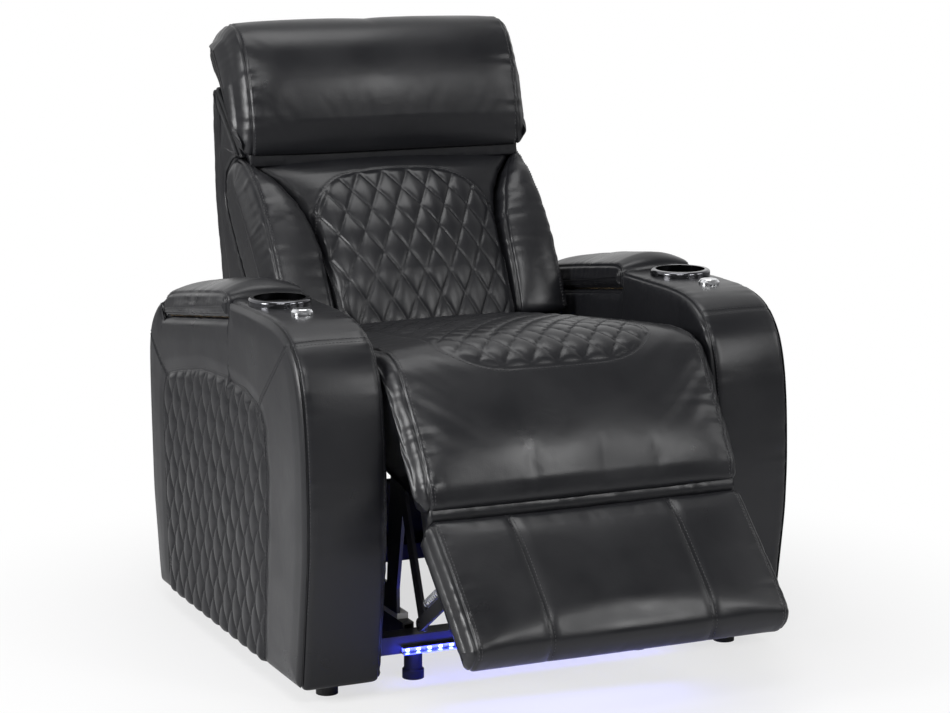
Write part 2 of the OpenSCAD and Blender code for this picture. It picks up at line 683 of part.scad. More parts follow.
// Height of the seat, as shares of its length and of the nose's height over its rear
seat_top_shares = [[0, 1], [0.192, 0.91], [0.508, 0.53], [0.815, 0.155], [1, 0]];
function seat_top(y) = seat_rear_z + (nose_z + nose_r - seat_rear_z)
    * lookup((y - nose_y) / (seat_rear_y - nose_y), seat_top_shares);
seat_rows = 9;
seat_edge_r = 18;
seat_quilt_share = 0.815;
seat_row_share = 0.35;
tongue_share = 0.62;
seat_foot_share = 0.2;
seat_heel_share = 0.6;
module seat_cushion() color([0.07, 0.07, 0.075]) place() {
    quilt_y = nose_y + seat_quilt_share * (seat_rear_y - nose_y);
    heel_y = (seat_rear_y + quilt_y) / 2;
    row = (quilt_y - nose_y) / (seat_rows + seat_row_share);
    loop = concat(
        [[nose_y + nose_hollow_r, frame_top_z + soft_gap, seat_foot_share, 0],
         [seat_rear_y, frame_top_z + soft_gap, seat_heel_share, 0],
         [seat_rear_y, (frame_top_z + seat_rear_z) / 2, 1, 0],
         [seat_rear_y, seat_rear_z, 1, 0], [heel_y, seat_top(heel_y), 1, 0]],
        [for (k = [0:seat_rows]) let (y = quilt_y - k * row)
            [y, seat_top(y), 1, k == 0 ? seat_foot_share : k == seat_rows ? 0.5 : 1]],
        [for (a = [118, 146, 162, 176]) [nose_y + nose_r * cos(a), nose_z + nose_r * sin(a), 1, 0]],
        [for (a = [176:-22:0]) [nose_y + nose_hollow_r * cos(a), nose_z + nose_hollow_r * sin(a), 0, 0]]);
    first = 6;
    last = first + seat_rows;
    xs = even_steps(seat_half_w, seat_edge_r, 22);
    skin([for (i = [0:len(xs) - 1]) ring_at(loop, xs[i], seat_half_w, seat_edge_r, seat_crown,
        function(x, j) j < first || j > last || abs(x) > seat_half_w * tongue_share ? 0
            : (i + j) % 2 == 0 ? quilt_rise : -quilt_rise)]);
}
module nose_hinge() color([0.2, 0.2, 0.21]) place() {
    rod([nose_y, nose_z], hinge_rod_r, -flap_arm_x - plate_t, flap_arm_x + plate_t);
    both_slabs(flap_arm_x - flap_arm_w - plate_t, plate_t) {
        translate([nose_y, nose_z]) circle(r = hinge_eye_r);
        polygon([[nose_y - hinge_eye_r, nose_z], [seat_front_y, frame_top_z],
            [seat_front_y + cross_w - tube_t, frame_top_z], [nose_y + hinge_eye_r, nose_z]]);
    }
}

// Actuator, on the middle line under the seat
drive_z = torque_z - crank_len;
motor_up_share = 0.4;
module actuator_motor() color([0.1, 0.1, 0.1]) place() {
    motor_top_z = drive_z + motor_l * motor_up_share;
    translate([0, tube_front_y + tube_l + motor_d / 2, motor_top_z - motor_l])
        cylinder(d = motor_d, h = motor_l);
    translate([0, tube_front_y + tube_l + motor_d / 2, motor_top_z])
        cylinder(d = drive_d, h = seat_rail_z - motor_top_z);
}
module actuator_tube() color([0.55, 0.56, 0.58]) place()
    translate([0, tube_front_y, drive_z]) rotate([-90, 0, 0])
    difference() {
        cylinder(d = tube_d, h = tube_l);
        translate([0, 0, -overrun]) cylinder(d = drive_d + 2 * running, h = tube_l - tube_d / 2);
    }
module drive_rod() color([0.7, 0.7, 0.72]) place() {
    back = torque_y + yoke_l / 2;
    translate([0, back, drive_z]) rotate([-90, 0, 0])
        cylinder(d = drive_d, h = tube_front_y + tube_l / 2 - back);
    both_slabs(crank_t / 2 + running + yoke_t / 2, yoke_t) difference() {
        translate([torque_y - yoke_l / 2, drive_z - yoke_down - yoke_t])
            square([yoke_l + yoke_t, yoke_down + yoke_up + 2 * yoke_t]);
        hull() for (z = [drive_z - yoke_down + yoke_slot_w / 2, drive_z + yoke_up - yoke_slot_w / 2])
            translate([torque_y, z]) circle(d = yoke_slot_w, $fn = 32);
    }
    box([-crank_t / 2 - running - yoke_t, back, drive_z - yoke_down - yoke_t],
        [crank_t / 2 + running + yoke_t, back + yoke_t, drive_z + yoke_up + yoke_t]);
}
module torque_tube() color([0.5, 0.5, 0.52]) place() {
    rod([torque_y, torque_z], torque_d / 2, -lower_x - plate_t / 2, lower_x + plate_t / 2);
    slab(-crank_t / 2, crank_t / 2)
        link_outline([torque_y, torque_z], [torque_y, drive_z], 2 * (crank_pin_r + crank_rim));
    rod([torque_y, drive_z], crank_pin_r, -crank_t / 2 - running - yoke_t, crank_t / 2 + running + yoke_t);
}

// Links
module lower_links() color([0.17, 0.17, 0.18]) place() {
    both_slabs(lower_x, plate_t) difference() {
        union() {
            link_outline([torque_y, torque_z], elbow(), link_w);
            translate([torque_y, torque_z]) circle(d = torque_d + link_w / 2);
        }
        translate([torque_y, torque_z]) circle(d = torque_d + fit_play);
    }
    for (s = [0, 1]) mirror([s, 0, 0]) rod(elbow(), link_pin_r, lower_x, upper_x + plate_t / 2 + running);
}
module upper_links() color([0.17, 0.17, 0.18]) place() both_slabs(upper_x, plate_t) difference() {
    union() {
        bar_outline(link_top, elbow(), upper_link_w);
        for (t = spring_ends) translate(spring_at(t, 0)) rotate(link_turn())
            translate([-spring_lug / 2, -spring_rise - spring_r - spring_wire_r])
            square([spring_lug, spring_rise + spring_r + spring_wire_r - upper_link_w / 4]);
    }
    translate(elbow()) circle(r = link_pin_r + elbow_play);
    translate(link_top) circle(r = link_pin_r + running);
}
// The spring lies beside the left upper link, hooked between its two lugs
function link_turn() = atan2(link_top[1] - elbow()[1], link_top[0] - elbow()[0]);
function spring_at(t, rise) = elbow() + t * (link_top - elbow())
    + rise * [sin(link_turn()), -cos(link_turn())];
function coil_point(u, len_share, r) =
    let (c = spring_at(spring_ends[0] + spring_lug_share() + u * len_share, spring_rise),
         a = 360 * spring_turns * u, side = [sin(link_turn()), -cos(link_turn())])
    [-upper_x + r * sin(a), c[0] + r * cos(a) * side[0], c[1] + r * cos(a) * side[1]];
spring_len_share = spring_ends[1] - spring_ends[0] - 2 * spring_lug_share();
spring_steps = spring_turns * 8;
spring_line = [for (k = [0:spring_steps]) coil_point(k / spring_steps, spring_len_share, spring_r)];
// Least gap of the coil to itself, between points at least half a turn apart
spring_self_gap = min([for (i = [0:spring_steps], j = [i + 4:1:spring_steps])
    norm(spring_line[i] - spring_line[j])]) - 2 * spring_wire_r;
echo(spring_self_gap = spring_self_gap);
module link_spring() color([0.6, 0.6, 0.62]) place()
    skin([for (k = [0:spring_steps]) let (
        q = coil_point((k + 1) / spring_steps, spring_len_share, spring_r),
        o = coil_point((k - 1) / spring_steps, spring_len_share, spring_r),
        m = spring_at(spring_ends[0] + spring_lug_share() + k / spring_steps * spring_len_share,
            spring_rise),
        t = unit(q - o), n = unit(spring_line[k] - [-upper_x, m[0], m[1]]), b = cross(t, n))
        [for (a = [0:60:300]) spring_line[k] + spring_wire_r * (cos(a) * n + sin(a) * b)]], cap = "fan");

// Flap
module flap_outline(points) polygon([for (p = points) flap_at(p[0], p[1])]);
module flap_arms() color([0.17, 0.17, 0.18]) place() {
    difference() {
        both_slabs(flap_arm_x, plate_t) {
            translate([nose_y, nose_z]) circle(r = hinge_eye_r);
            flap_outline([[0, -hinge_eye_r], [flap_board_end, flap_back - flap_arm_w],
                [flap_board_end, flap_back],
                [flap_board_top, flap_back], [0, hinge_eye_r]]);
            link_outline(flap_at(flap_board_end, flap_back - 2 * knee_r), knee, 2 * knee_r);
        }
        rod([nose_y, nose_z], hinge_rod_r + running, -half_w, half_w);
    }
    rod(knee, knee_pin_r, -flap_arm_x, flap_arm_x);
}
module flap_board() color([0.5, 0.38, 0.24]) place()
    slab(-seat_half_w + hinge_eye_r, seat_half_w - hinge_eye_r) flap_outline([
        [flap_board_top, flap_back], [flap_board_end, flap_back],
        [flap_board_end, flap_back + board_t], [flap_board_top, flap_back + board_t]]);
// The flap's face, as shares of its length and reach, with shares of rounding and crown
flap_face_shares = [
    [0.064, 1, 0.15, 0], [0.18, 1.01, 0.9, 0.4], [0.36, 1.01, 1, 0.9], [0.55, 1.01, 1, 1],
    [0.73, 1.01, 1, 1], [0.9, 1, 1, 0.6], [0.977, 0.955, 0.6, 0.1], [1, 0.88, 0.1, 0]
];
flap_clear = 2;
flap_arc_end = 9;
flap_crown = 6;
pad_edge_r = 16;
module flap_pad() color([0.07, 0.07, 0.075]) place() {
    cut_r = nose_r + flap_clear;
    inner = flap_back + board_t + soft_gap;
    lip = flap_len - foot_start;
    start = asin(inner / cut_r);
    // Points of the section as [down, out, share of rounding, share of crown]
    section = concat(
        [for (k = [0:4]) let (a = start + (90 - start - flap_arc_end) * k / 4)
            [cut_r * cos(a), cut_r * sin(a), 0, 0]],
        [for (s = flap_face_shares) [s[0] * lip, s[1] * flap_face, s[2], s[3]]],
        [[flap_board_end + flap_clear, inner, 0, 0]]);
    loop = [for (p = section) let (q = flap_at(p[0], p[1])) [q[0], q[1], p[2], p[3]]];
    skin([for (x = even_steps(seat_half_w, pad_edge_r, 10))
        ring_at(loop, x, seat_half_w, pad_edge_r, flap_crown, no_extra)]);
}

// Footrest
module foot_outline(points) polygon([for (p = points) foot_at(p[0], p[1])]);
foot_board_end = footrest_len - foot_edge_in;
module footrest_board() color([0.5, 0.38, 0.24]) place()
    slab(-seat_half_w + hinge_eye_r, seat_half_w - hinge_eye_r) foot_outline([
        [foot_start, foot_back], [foot_board_end, foot_back],
        [foot_board_end, foot_back + board_t], [foot_start, foot_back + board_t]]);
// The pad's section, as shares of its length and thickness, with shares of rounding and crown
foot_pad_shares = [
    [0, 0.31, 0.4, 0], [0.004, 0.127, 0.9, 0], [0.032, 0, 1, 0.2], [0.197, 0, 1, 0.9], [0.4, 0, 1, 1],
    [0.6, 0, 1, 1], [0.8, 0, 1, 0.8], [0.936, 0, 1, 0.4], [0.98, 0.083, 1, 0.4], [1, 0.3, 1, 0.75],
    [1, 0.767, 0.9, 0.4], [0.976, 1, 0.6, 0]
];
// Columns of the pad as shares of its half width; the channel lies at a half
foot_column_shares = [0.084, 0.29, 0.475, 0.5, 0.525, 0.675, 0.944, 0.983, 1];
module footrest_pad() color([0.07, 0.07, 0.075]) place() {
    inner = foot_back + board_t + soft_gap;
    edge = foot_board_end + soft_gap;
    section = concat([[foot_start, inner, 0, 0]],
        [for (s = foot_pad_shares)
            [foot_start + s[0] * (footrest_len - foot_start), footrest_face - s[1] * footrest_t,
                s[2], s[3]]],
        [[edge, foot_back, 0, 0], [edge, inner, 0, 0]]);
    loop = [for (p = section) let (q = foot_at(p[0], p[1])) [q[0], q[1], p[2], p[3]]];
    columns = [for (c = foot_column_shares) c * seat_half_w];
    skin([for (x = concat([for (k = [len(columns) - 1:-1:0]) -columns[k]], columns))
        ring_at(loop, x, seat_half_w, pad_edge_r, foot_crown,
            function(x, j) abs(abs(x) - channel_x) < channel_depth && loop[j][3] > 0 ? -channel_depth : 0)]);
}
module footrest_brackets() color([0.17, 0.17, 0.18]) place() {
    difference() {
        both_slabs(foot_arm_x, plate_t) {
            translate(knee) circle(r = knee_r);
            foot_outline([[-knee_r, 0], [-knee_r, foot_back - knee_r], [foot_plate_w, foot_back - knee_r],
                [foot_plate_w, foot_back], [knee_r, foot_back], [knee_r, 0]]);
        }
        rod(knee, knee_pin_r + running, -half_w, half_w);
    }
    both_slabs(bracket_x, plate_t) {
        translate(link_top) circle(r = knee_r);
        foot_outline([[link_pin_w - knee_r, link_pin_h], [link_pin_w + knee_r, link_pin_h],
            [link_pin_w + foot_lug_w, foot_back], [link_pin_w - foot_lug_w, foot_back]]);
    }
    for (s = [0, 1]) mirror([s, 0, 0])
        rod(link_top, link_pin_r, upper_x - plate_t / 2 - fit_play, bracket_x);
}

// Back. Its outlines are shares of its depth and rise, from the foot of the middle cushion.
function back_at(s) = [back_front_y + s[0] * back_depth, back_foot_z + s[1] * back_rise];
back_rear_shares = [[-0.81, 0.793], [0.02, 0.884], [0.345, 0.932], [0.645, 0.982], [0.915, 1],
    [1.19, 0.992]];
function back_rear(z) = back_front_y + back_depth * lookup((z - back_foot_z) / back_rise, back_rear_shares);
// The seam between the wings and the shell
rear_seam_shares = [[0.394, 0.022], [0.604, 0.359], [0.719, 0.554], [0.816, 0.743], [0.816, 0.915],
    [0.7, 1.02]];
shell_hip_share = [0.53, -0.45];
shell_heel_share = 0.635;
shell_open_share = 0.294;
shell_mouth_share = 0.86;
shell_tip_w = 199;
shell_tip_share = 2.06;
shell_head_w = 10;
former_top_w = [60, 34];
function head_at(w, b) = [head_pivot_y, head_pivot_z] + w * [cos(head_slope), sin(head_slope)]
    + b * [-sin(head_slope), cos(head_slope)];
head_shell_b = -(head_lift + head_leaf_t + head_play);
function shell_tip(inset) = head_at(shell_tip_w - shell_tip_share * inset, head_shell_b - inset);
module shell_outline(inset) {
    foot = inset > 0 ? overrun : 0;
    rear = [for (s = back_rear_shares) back_at([s[1], s[0]]) - [inset, s[0] < 0 ? foot : 0]];
    last = len(rear_seam_shares) - 1;
    polygon(concat(
        [back_at([inset > 0 ? shell_open_share : shell_heel_share, back_rear_shares[0][0]]) - [0, foot]],
        rear, [shell_tip(inset), head_at(shell_head_w, head_shell_b - inset)],
        inset > 0 ? [back_at([shell_open_share, shell_mouth_share])]
            : [for (k = [last:-1:0]) back_at(rear_seam_shares[k]), back_at(shell_hip_share)]));
}
module back_shell() color([0.08, 0.08, 0.085]) place() difference() {
    slab(-seat_half_w + shell_in, seat_half_w - shell_in) shell_outline(0);
    slab(-seat_half_w + shell_in + shell_t, seat_half_w - shell_in - shell_t) shell_outline(shell_t);
}
module back_cross_rail() color([0.5, 0.38, 0.24]) place()
    box([-seat_half_w + shell_in + shell_t, back_rail_y, back_rail_z],
        [seat_half_w - shell_in - shell_t, back_rail_y + back_rail_w, back_rail_z + back_rail_h]);
board_in = 74;
board_slope_share = 0.705;
board_top_share = 0.964;
board_top_z = back_foot_z + board_top_share * back_rise;
function board_y(z) = back_front_y + board_in + (z - back_foot_z) * board_slope_share;
module back_formers() color([0.5, 0.38, 0.24]) place() {
    foot_z = back_rail_z + back_rail_h;
    under_b = head_shell_b - shell_t - gap;
    both_slabs(former_x, former_t) polygon(concat(
        [[board_y(foot_z) + back_board_t, foot_z], [back_rear(foot_z) - shell_t, foot_z]],
        [for (s = back_rear_shares) if (s[0] > 0) back_at([s[1], s[0]]) - [shell_t, 0]],
        [shell_tip(shell_t + gap), head_at(former_top_w[0], under_b), head_at(former_top_w[1], under_b),
         [board_y(board_top_z) + back_board_t, board_top_z]]));
}
module back_board() color([0.5, 0.38, 0.24]) place()
    slab(-centre_half_w + shell_in, centre_half_w - shell_in) polygon([
        [board_y(back_foot_z), back_foot_z], [board_y(back_foot_z) + back_board_t, back_foot_z],
        [board_y(board_top_z) + back_board_t, board_top_z], [board_y(board_top_z), board_top_z]]);
bracket_share = 0.7;
bracket_pin_over = 2;
module back_brackets() color([0.17, 0.17, 0.18]) place() {
    x = plate_x + plate_t + running;
    out = bracket_eye_r * bracket_share;
    both_slabs(x, plate_t) {
        translate([back_pivot_y, back_pivot_z]) circle(r = bracket_eye_r);
        polygon([[back_pivot_y + out, back_pivot_z - out],
            [back_rail_y, back_rail_z], [back_rail_y, back_rail_z + back_rail_h],
            [back_pivot_y - out, back_pivot_z + out]]);
    }
    for (s = [0, 1]) mirror([s, 0, 0])
        rod([back_pivot_y, back_pivot_z], pivot_r, plate_x - plate_t / 2 - bracket_pin_over, x);
}
centre_row_shares = [0, 0.13, 0.265, 0.4, 0.533, 0.667, 0.8, 0.913, 1];
centre_front_shares = [[0, 0], [0.13, 0.042], [0.312, 0.126], [0.493, 0.215], [0.656, 0.31], [0.8, 0.407],
    [0.913, 0.48], [1, 0.549]];
// How far the middle cushion spreads over the wings, as shares of the rise and of a wing's width
centre_half_shares = [[0, 0], [0.493, 0.036], [0.656, 0.09], [0.8, 0.243], [0.913, 0.45], [1, 0.739]];
function centre_half(z) = centre_half_w + wing_w * lookup((z - back_foot_z) / back_rise, centre_half_shares);
// Columns of the middle cushion outside its arch, as shares of its half width
centre_column_shares = [0.93, 0.985, 1];
centre_edge_in = 14;
centre_edge_power = 14;
arch_foot_share = 0.02;
arch_fall_share = 0.147;
arch_cols = 12;
module back_centre_cushion() color([0.07, 0.07, 0.075]) place() {
    side = len(centre_column_shares);
    n = arch_cols + 1 + 2 * side;
    arch_half = arch_cols / 2 * diamond_w / 2;
    x_of = function(i, half) i < side ? -centre_column_shares[side - 1 - i] * half
        : i > side + arch_cols ? centre_column_shares[i - side - arch_cols - 1] * half
        : (i - side - arch_cols / 2) * diamond_w / 2;
    in_arch = function(x, s) abs(x) < arch_half + overrun && s > arch_foot_share
        && s < board_top_share - pow(x / arch_half, 2) * arch_fall_share;
    skin([for (j = [0:len(centre_row_shares) - 1])
        let (row = centre_row_shares[j], p = back_at([lookup(row, centre_front_shares), row]),
            half = centre_half(p[1]))
        concat([for (i = [n - 1:-1:0]) let (x = x_of(i, half), s = x / half)
            [x, p[0] - centre_crown * (1 - s * s) + centre_edge_in * pow(abs(s), centre_edge_power)
                - (in_arch(x, row) ? ((i + j) % 2 == 0 ? quilt_rise : -quilt_rise) : 0), p[1]]],
            [[-half, board_y(p[1]) - soft_gap, p[1]], [half, board_y(p[1]) - soft_gap, p[1]]])]);
}
wing_face_shares = [[0.604, 1.007], [0.535, 0.957], [0.425, 0.87], [0.31, 0.717], [0.189, 0.496],
    [0.089, 0.239], [0.021, 0.036]];
wing_foot_shares = [[0.032, 0], [0.378, 0]];
wing_column_shares = [-1, -0.9, -0.6, -0.2, 0.2, 0.6, 0.9, 1];
wing_crown = 14;
wing_edge_r = 12;
wing_edge_power = 8;
wing_in = 1;
module wing_bolster(side) color([0.07, 0.07, 0.075]) place() scale([side, 1, 1]) {
    loop = concat([for (s = rear_seam_shares) let (p = back_at(s)) [p[0] - 2 * soft_gap, p[1], 0.5, 0]],
        [for (s = wing_face_shares) let (p = back_at(s)) [p[0], p[1], 1, 1]],
        [for (k = [0, 1]) let (p = back_at(wing_foot_shares[k])) [p[0], p[1], k == 0 ? 0.4 : 0, 0]]);
    skin([for (s = wing_column_shares) [
        for (j = [0:len(loop) - 1]) let (p = loop[j], n = out_of(loop, j),
            x0 = centre_half(p[1]) + 2 * soft_gap, x1 = seat_half_w - wing_in,
            push = wing_crown * p[3] * (1 - s * s) - p[2] * wing_edge_r * pow(abs(s), wing_edge_power))
        [x0 + (x1 - x0) * (s + 1) / 2, p[0] + n[0] * push, p[1] + n[1] * push]]], cap = "fan");
}
module left_wing_bolster() wing_bolster(-1);
module right_wing_bolster() wing_bolster(1);

// Headrest
module headrest_hinge() color([0.6, 0.6, 0.62]) place() {
    rod([head_pivot_y, head_pivot_z], head_pin_r, -head_eye_x - head_eye_l, head_eye_x + head_eye_l);
    for (x = [-1, 1] * head_eye_x) slab(x - head_eye_l / 2, x + head_eye_l / 2) {
        translate([head_pivot_y, head_pivot_z]) circle(r = head_eye_r);
        polygon([head_at(0, head_shell_b + gap), head_at(head_leaf_l, head_shell_b + gap),
            head_at(head_leaf_l, head_shell_b + head_leaf_t), head_at(0, head_shell_b + head_leaf_t)]);
    }
}
module headrest_board() color([0.5, 0.38, 0.24]) place() {
    heel = head_board_in + head_board_w;
    slab(-seat_half_w + head_board_end, seat_half_w - head_board_end) polygon([
        head_at(head_board_in, -head_lift), head_at(heel, -head_lift),
        head_at(heel - head_board_cut, head_board_t - head_lift),
        head_at(head_board_in, head_board_t - head_lift)]);
    for (x = [-1, 1] * (head_eye_x - head_eye_l - liner_t)) difference() {
        slab(x - head_eye_l / 2, x + head_eye_l / 2) {
            translate([head_pivot_y, head_pivot_z]) circle(r = head_eye_r);
            polygon([head_at(0, -head_lift), head_at(head_board_in + liner_t, -head_lift),
                head_at(head_board_in + liner_t, head_eye_r), head_at(0, head_eye_r)]);
        }
        rod([head_pivot_y, head_pivot_z], head_pin_r + running, -half_w, half_w);
    }
}
// The roll's outline, as shares of its depth and rise, with shares of rounding and crown
headrest_shares = [
    [1, 0.683, 1, 0], [1, 0.77, 1, 0], [0.91, 0.874, 1, 0], [0.768, 0.948, 1, 0], [0.616, 0.996, 1, 0.2],
    [0.426, 1, 1, 0.5], [0.29, 0.874, 1, 0.8], [0.195, 0.709, 1, 1], [0.132, 0.535, 1, 1],
    [0.079, 0.361, 1, 1], [0.037, 0.187, 1, 1], [0.005, 0.057, 1, 0.6], [0.01, 0, 0.4, 0.1]
];
module headrest_pad() color([0.07, 0.07, 0.075]) place() {
    bottom = head_board_t - head_lift + soft_gap;
    foot = head_at(head_board_in - head_board_cut, bottom);
    heel = head_at(head_board_in + head_board_w + head_pad_over, bottom);
    loop = concat([[foot[0], foot[1], 0, 0], [heel[0], heel[1], 0.6, 0]],
        [for (s = headrest_shares)
            [head_front_y + s[0] * head_depth, head_foot_z + s[1] * head_rise, s[2], s[3]]]);
    skin([for (x = even_steps(seat_half_w, pad_edge_r, 10))
        ring_at(loop, x, seat_half_w, pad_edge_r, head_crown, no_extra)]);
}

left_arm_body();
right_arm_body();
left_arm_quilt();
right_arm_quilt();
left_storage_tub();
right_storage_tub();
left_cup_liner();
right_cup_liner();
left_cup_ring();
right_cup_ring();
left_switch_bezel();
right_switch_bezel();
left_recline_key();
left_return_key();
right_recline_key();
right_return_key();
left_lid_pad();
right_lid_pad();
left_lid_board();
right_lid_board();
lid_hinges();
arm_glides();
base_feet();
base_side_rails();
front_crossbar();
rear_crossbar();
led_channel();
led_diodes();
slide_shoes();
side_plates();
seat_side_rails();
seat_front_rail();
seat_rear_rail();
seat_webbing();
seat_cushion();
nose_hinge();
actuator_motor();
actuator_tube();
drive_rod();
torque_tube();
lower_links();
upper_links();
link_spring();
flap_arms();
flap_board();
flap_pad();
footrest_brackets();
footrest_board();
footrest_pad();
back_brackets();
back_cross_rail();
back_formers();
back_board();
back_shell();
back_centre_cushion();
left_wing_bolster();
right_wing_bolster();
headrest_hinge();
headrest_board();
headrest_pad();
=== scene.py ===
"""A power reclining cinema seat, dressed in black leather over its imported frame.

The upholstery's sections are drawn in millimetres in the plane of Y and Z, as the
frame's are: Y from the arm's datum and Z from the floor. Everything made from them is
in metres, in the frame's own place.
"""
import json
import logging
import math
from dataclasses import dataclass, field
from enum import Enum
from typing import Callable, Optional, Sequence

import bpy
import numpy as np
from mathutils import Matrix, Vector
from numpy.typing import NDArray


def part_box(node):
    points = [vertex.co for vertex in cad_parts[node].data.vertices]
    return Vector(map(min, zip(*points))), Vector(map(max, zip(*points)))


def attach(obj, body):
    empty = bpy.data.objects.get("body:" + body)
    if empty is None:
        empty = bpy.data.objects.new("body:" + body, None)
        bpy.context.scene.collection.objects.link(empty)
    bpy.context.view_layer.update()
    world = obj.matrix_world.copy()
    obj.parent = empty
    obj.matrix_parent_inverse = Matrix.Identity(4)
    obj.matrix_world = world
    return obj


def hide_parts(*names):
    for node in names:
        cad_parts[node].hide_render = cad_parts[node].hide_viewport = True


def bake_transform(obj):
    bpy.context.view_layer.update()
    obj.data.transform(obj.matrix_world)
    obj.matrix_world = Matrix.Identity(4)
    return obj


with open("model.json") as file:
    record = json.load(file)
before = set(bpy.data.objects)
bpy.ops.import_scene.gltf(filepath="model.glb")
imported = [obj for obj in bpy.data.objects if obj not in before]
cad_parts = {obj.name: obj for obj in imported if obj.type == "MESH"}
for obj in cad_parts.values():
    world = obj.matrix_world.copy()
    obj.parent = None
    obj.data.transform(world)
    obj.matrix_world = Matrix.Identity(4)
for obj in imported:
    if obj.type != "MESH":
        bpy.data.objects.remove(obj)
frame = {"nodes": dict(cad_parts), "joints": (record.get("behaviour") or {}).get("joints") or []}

log = logging.getLogger("cinema_seat")
Array = NDArray[np.float64]
Socket = bpy.types.NodeSocket
# A place in the drawing, Y and Z; the same with a value; and red, green and blue.
Point = tuple[float, float]
Mark = tuple[float, float, float]
Colour = tuple[float, float, float]

MM = 0.001
BACK_PIVOT_Y = 205
PIVOTS = {joint["name"]: joint.get("pos_m") for joint in frame["joints"]}
SHIFT_Y = PIVOTS["back_recline"][1] - BACK_PIVOT_Y * MM
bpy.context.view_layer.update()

# Half the width between the arms that the cushions fill, in millimetres.
SEAT_HALF = 286
# Step of the points that a row of stitches is laid along.
SEW_STEP = 2 * MM
# Points on a rounded corner, and the share of a straight leg that it may take.
CORNER_POINTS = 9
LEG_SHARE = 0.49
# Length of a side panel on the path over it, and the shares at which its rings lie.
PANEL = 60 * MM
PANEL_RINGS = (0.08, 0.2, 0.36, 0.54, 0.74, 0.93)
EDGE_RINGS = 7
# How far a side panel's rings close on the spine.
CLOSING = 0.97
# Places of the fine rings about a side seam, in millimetres.
SEAM_RINGS = (-6, -3.8, -2.4, -1.2, 0, 1.2, 2.4, 3.8, 6)
# The cloth: its frames, its quality, its mass, its bending stiffness and its shrinkage.
CLOTH_FRAMES = 20
CLOTH_QUALITY = 4
CLOTH_MASS = 0.4
CLOTH_BENDING = 0.6
CLOTH_SHRINK = -0.01
# A side seam's width, the period of its puckers, and how far they reach and how that varies.
SEAM_WIDTH = 2.6 * MM
PUCKER_PERIOD = 11 * MM
PUCKER_REACH = 16
PUCKER_SPREAD = 11
SPREAD_PERIOD = 37 * MM
# The slow unevenness of a stuffed face: its height and its period.
SOFT_RISE = 0.7 * MM
SOFT_PERIOD = 95 * MM
# Points handled at once where distances to a line are worked out.
BLOCK = 20000


class Side(Enum):
    """The seat's two sides, as signs along X."""

    LEFT = -1
    RIGHT = 1

    @property
    def word(self) -> str:
        """The side's name as the frame's nodes spell it."""
        return self.name.lower()


class Slot(Enum):
    """The record's material slots."""

    LEATHER = "black_leather"
    PLASTIC = "black_plastic"
    DARK_METAL = "dark_polished_metal"
    SILVER = "silver_trim"
    ZINC = "zinc_steel"
    PAINTED = "black_painted_steel"
    NYLON = "white_nylon"
    ALUMINIUM = "channel_aluminium"
    LED = "led_light"
    WEBBING = "elastic_webbing"
    PLYWOOD = "plywood"


def in_frame(places: Sequence) -> Array:
    """Brings places from the drawing's millimetres into the frame, in metres."""
    return np.array(places, float) * MM + np.array([SHIFT_Y, 0.0])


def run_along(path: Array) -> Array:
    """Distance of each point of a line from its first point, along the line."""
    return np.concatenate([[0], np.cumsum(np.linalg.norm(np.diff(path, axis=0), axis=1))])


def closed_loop(ring: Array) -> Array:
    """A ring of points with its first point again at the end."""
    return np.vstack([ring, ring[:1]])


def bell(away: Array, width: float) -> Array:
    """1 on a line, and falling off to both sides of it over about a width."""
    return np.exp(-((away / width) ** 2))


def noise_line(where: Array, period: float, seed: int) -> Array:
    """Smooth noise along a line: random values a period apart, joined by an eased step.

    Args:
        where: Places along the line, in metres.
        period: Distance between random values, in metres.
        seed: Seed of the random values.

    Returns:
        Values from -1 to 1, one for each place.
    """
    table = np.random.default_rng(seed).uniform(-1, 1, 1024)
    cell = np.floor(where / period).astype(int)
    part = where / period - cell
    blend = part * part * (3 - 2 * part)
    return table[cell % 1024] * (1 - blend) + table[(cell + 1) % 1024] * blend


def noise_field(u: Array, v: Array, period: float, seed: int) -> Array:
    """Smooth noise over a surface: the product form of noise_line in two directions.

    Args:
        u: First place of each point, in metres.
        v: Second place of each point, in metres.
        period: Distance between random values, in metres.
        seed: Seed of the random values.

    Returns:
        Values from -1 to 1, one for each point.
    """
    table = np.random.default_rng(seed).uniform(-1, 1, (64, 64))
    cu, cv = np.floor(u / period).astype(int), np.floor(v / period).astype(int)
    pu, pv = u / period - cu, v / period - cv
    eu, ev = pu * pu * (3 - 2 * pu), pv * pv * (3 - 2 * pv)
    low = table[cu % 64, cv % 64] * (1 - eu) + table[(cu + 1) % 64, cv % 64] * eu
    high = table[cu % 64, (cv + 1) % 64] * (1 - eu) + table[(cu + 1) % 64, (cv + 1) % 64] * eu
    return low * (1 - ev) + high * ev


def ease(value: Array, low: float, high: float) -> Array:
    """Goes from 0 at low to 1 at high along a cubic S."""
    t = np.clip((value - low) / (high - low), 0, 1)
    return t * t * (3 - 2 * t)


def hermite(knots: Array, values: Array, where: Array) -> Array:
    """Cubic Hermite interpolation along the first axis, with finite difference slopes.

    Args:
        knots: Increasing places of the values.
        values: Values, with one row for each knot.
        where: Places to work out.

    Returns:
        One row for each place.
    """
    slopes = np.gradient(values, knots, axis=0)
    i = np.clip(np.searchsorted(knots, where, side="right") - 1, 0, len(knots) - 2)
    h = knots[i + 1] - knots[i]
    t = (where - knots[i]) / h
    shape = (-1,) + (1,) * (values.ndim - 1)
    t, h = t.reshape(shape), h.reshape(shape)
    return (
        (2 * t**3 - 3 * t**2 + 1) * values[i]
        + (t**3 - 2 * t**2 + t) * h * slopes[i]
        + (3 * t**2 - 2 * t**3) * values[i + 1]
        + (t**3 - t**2) * h * slopes[i + 1]
    )


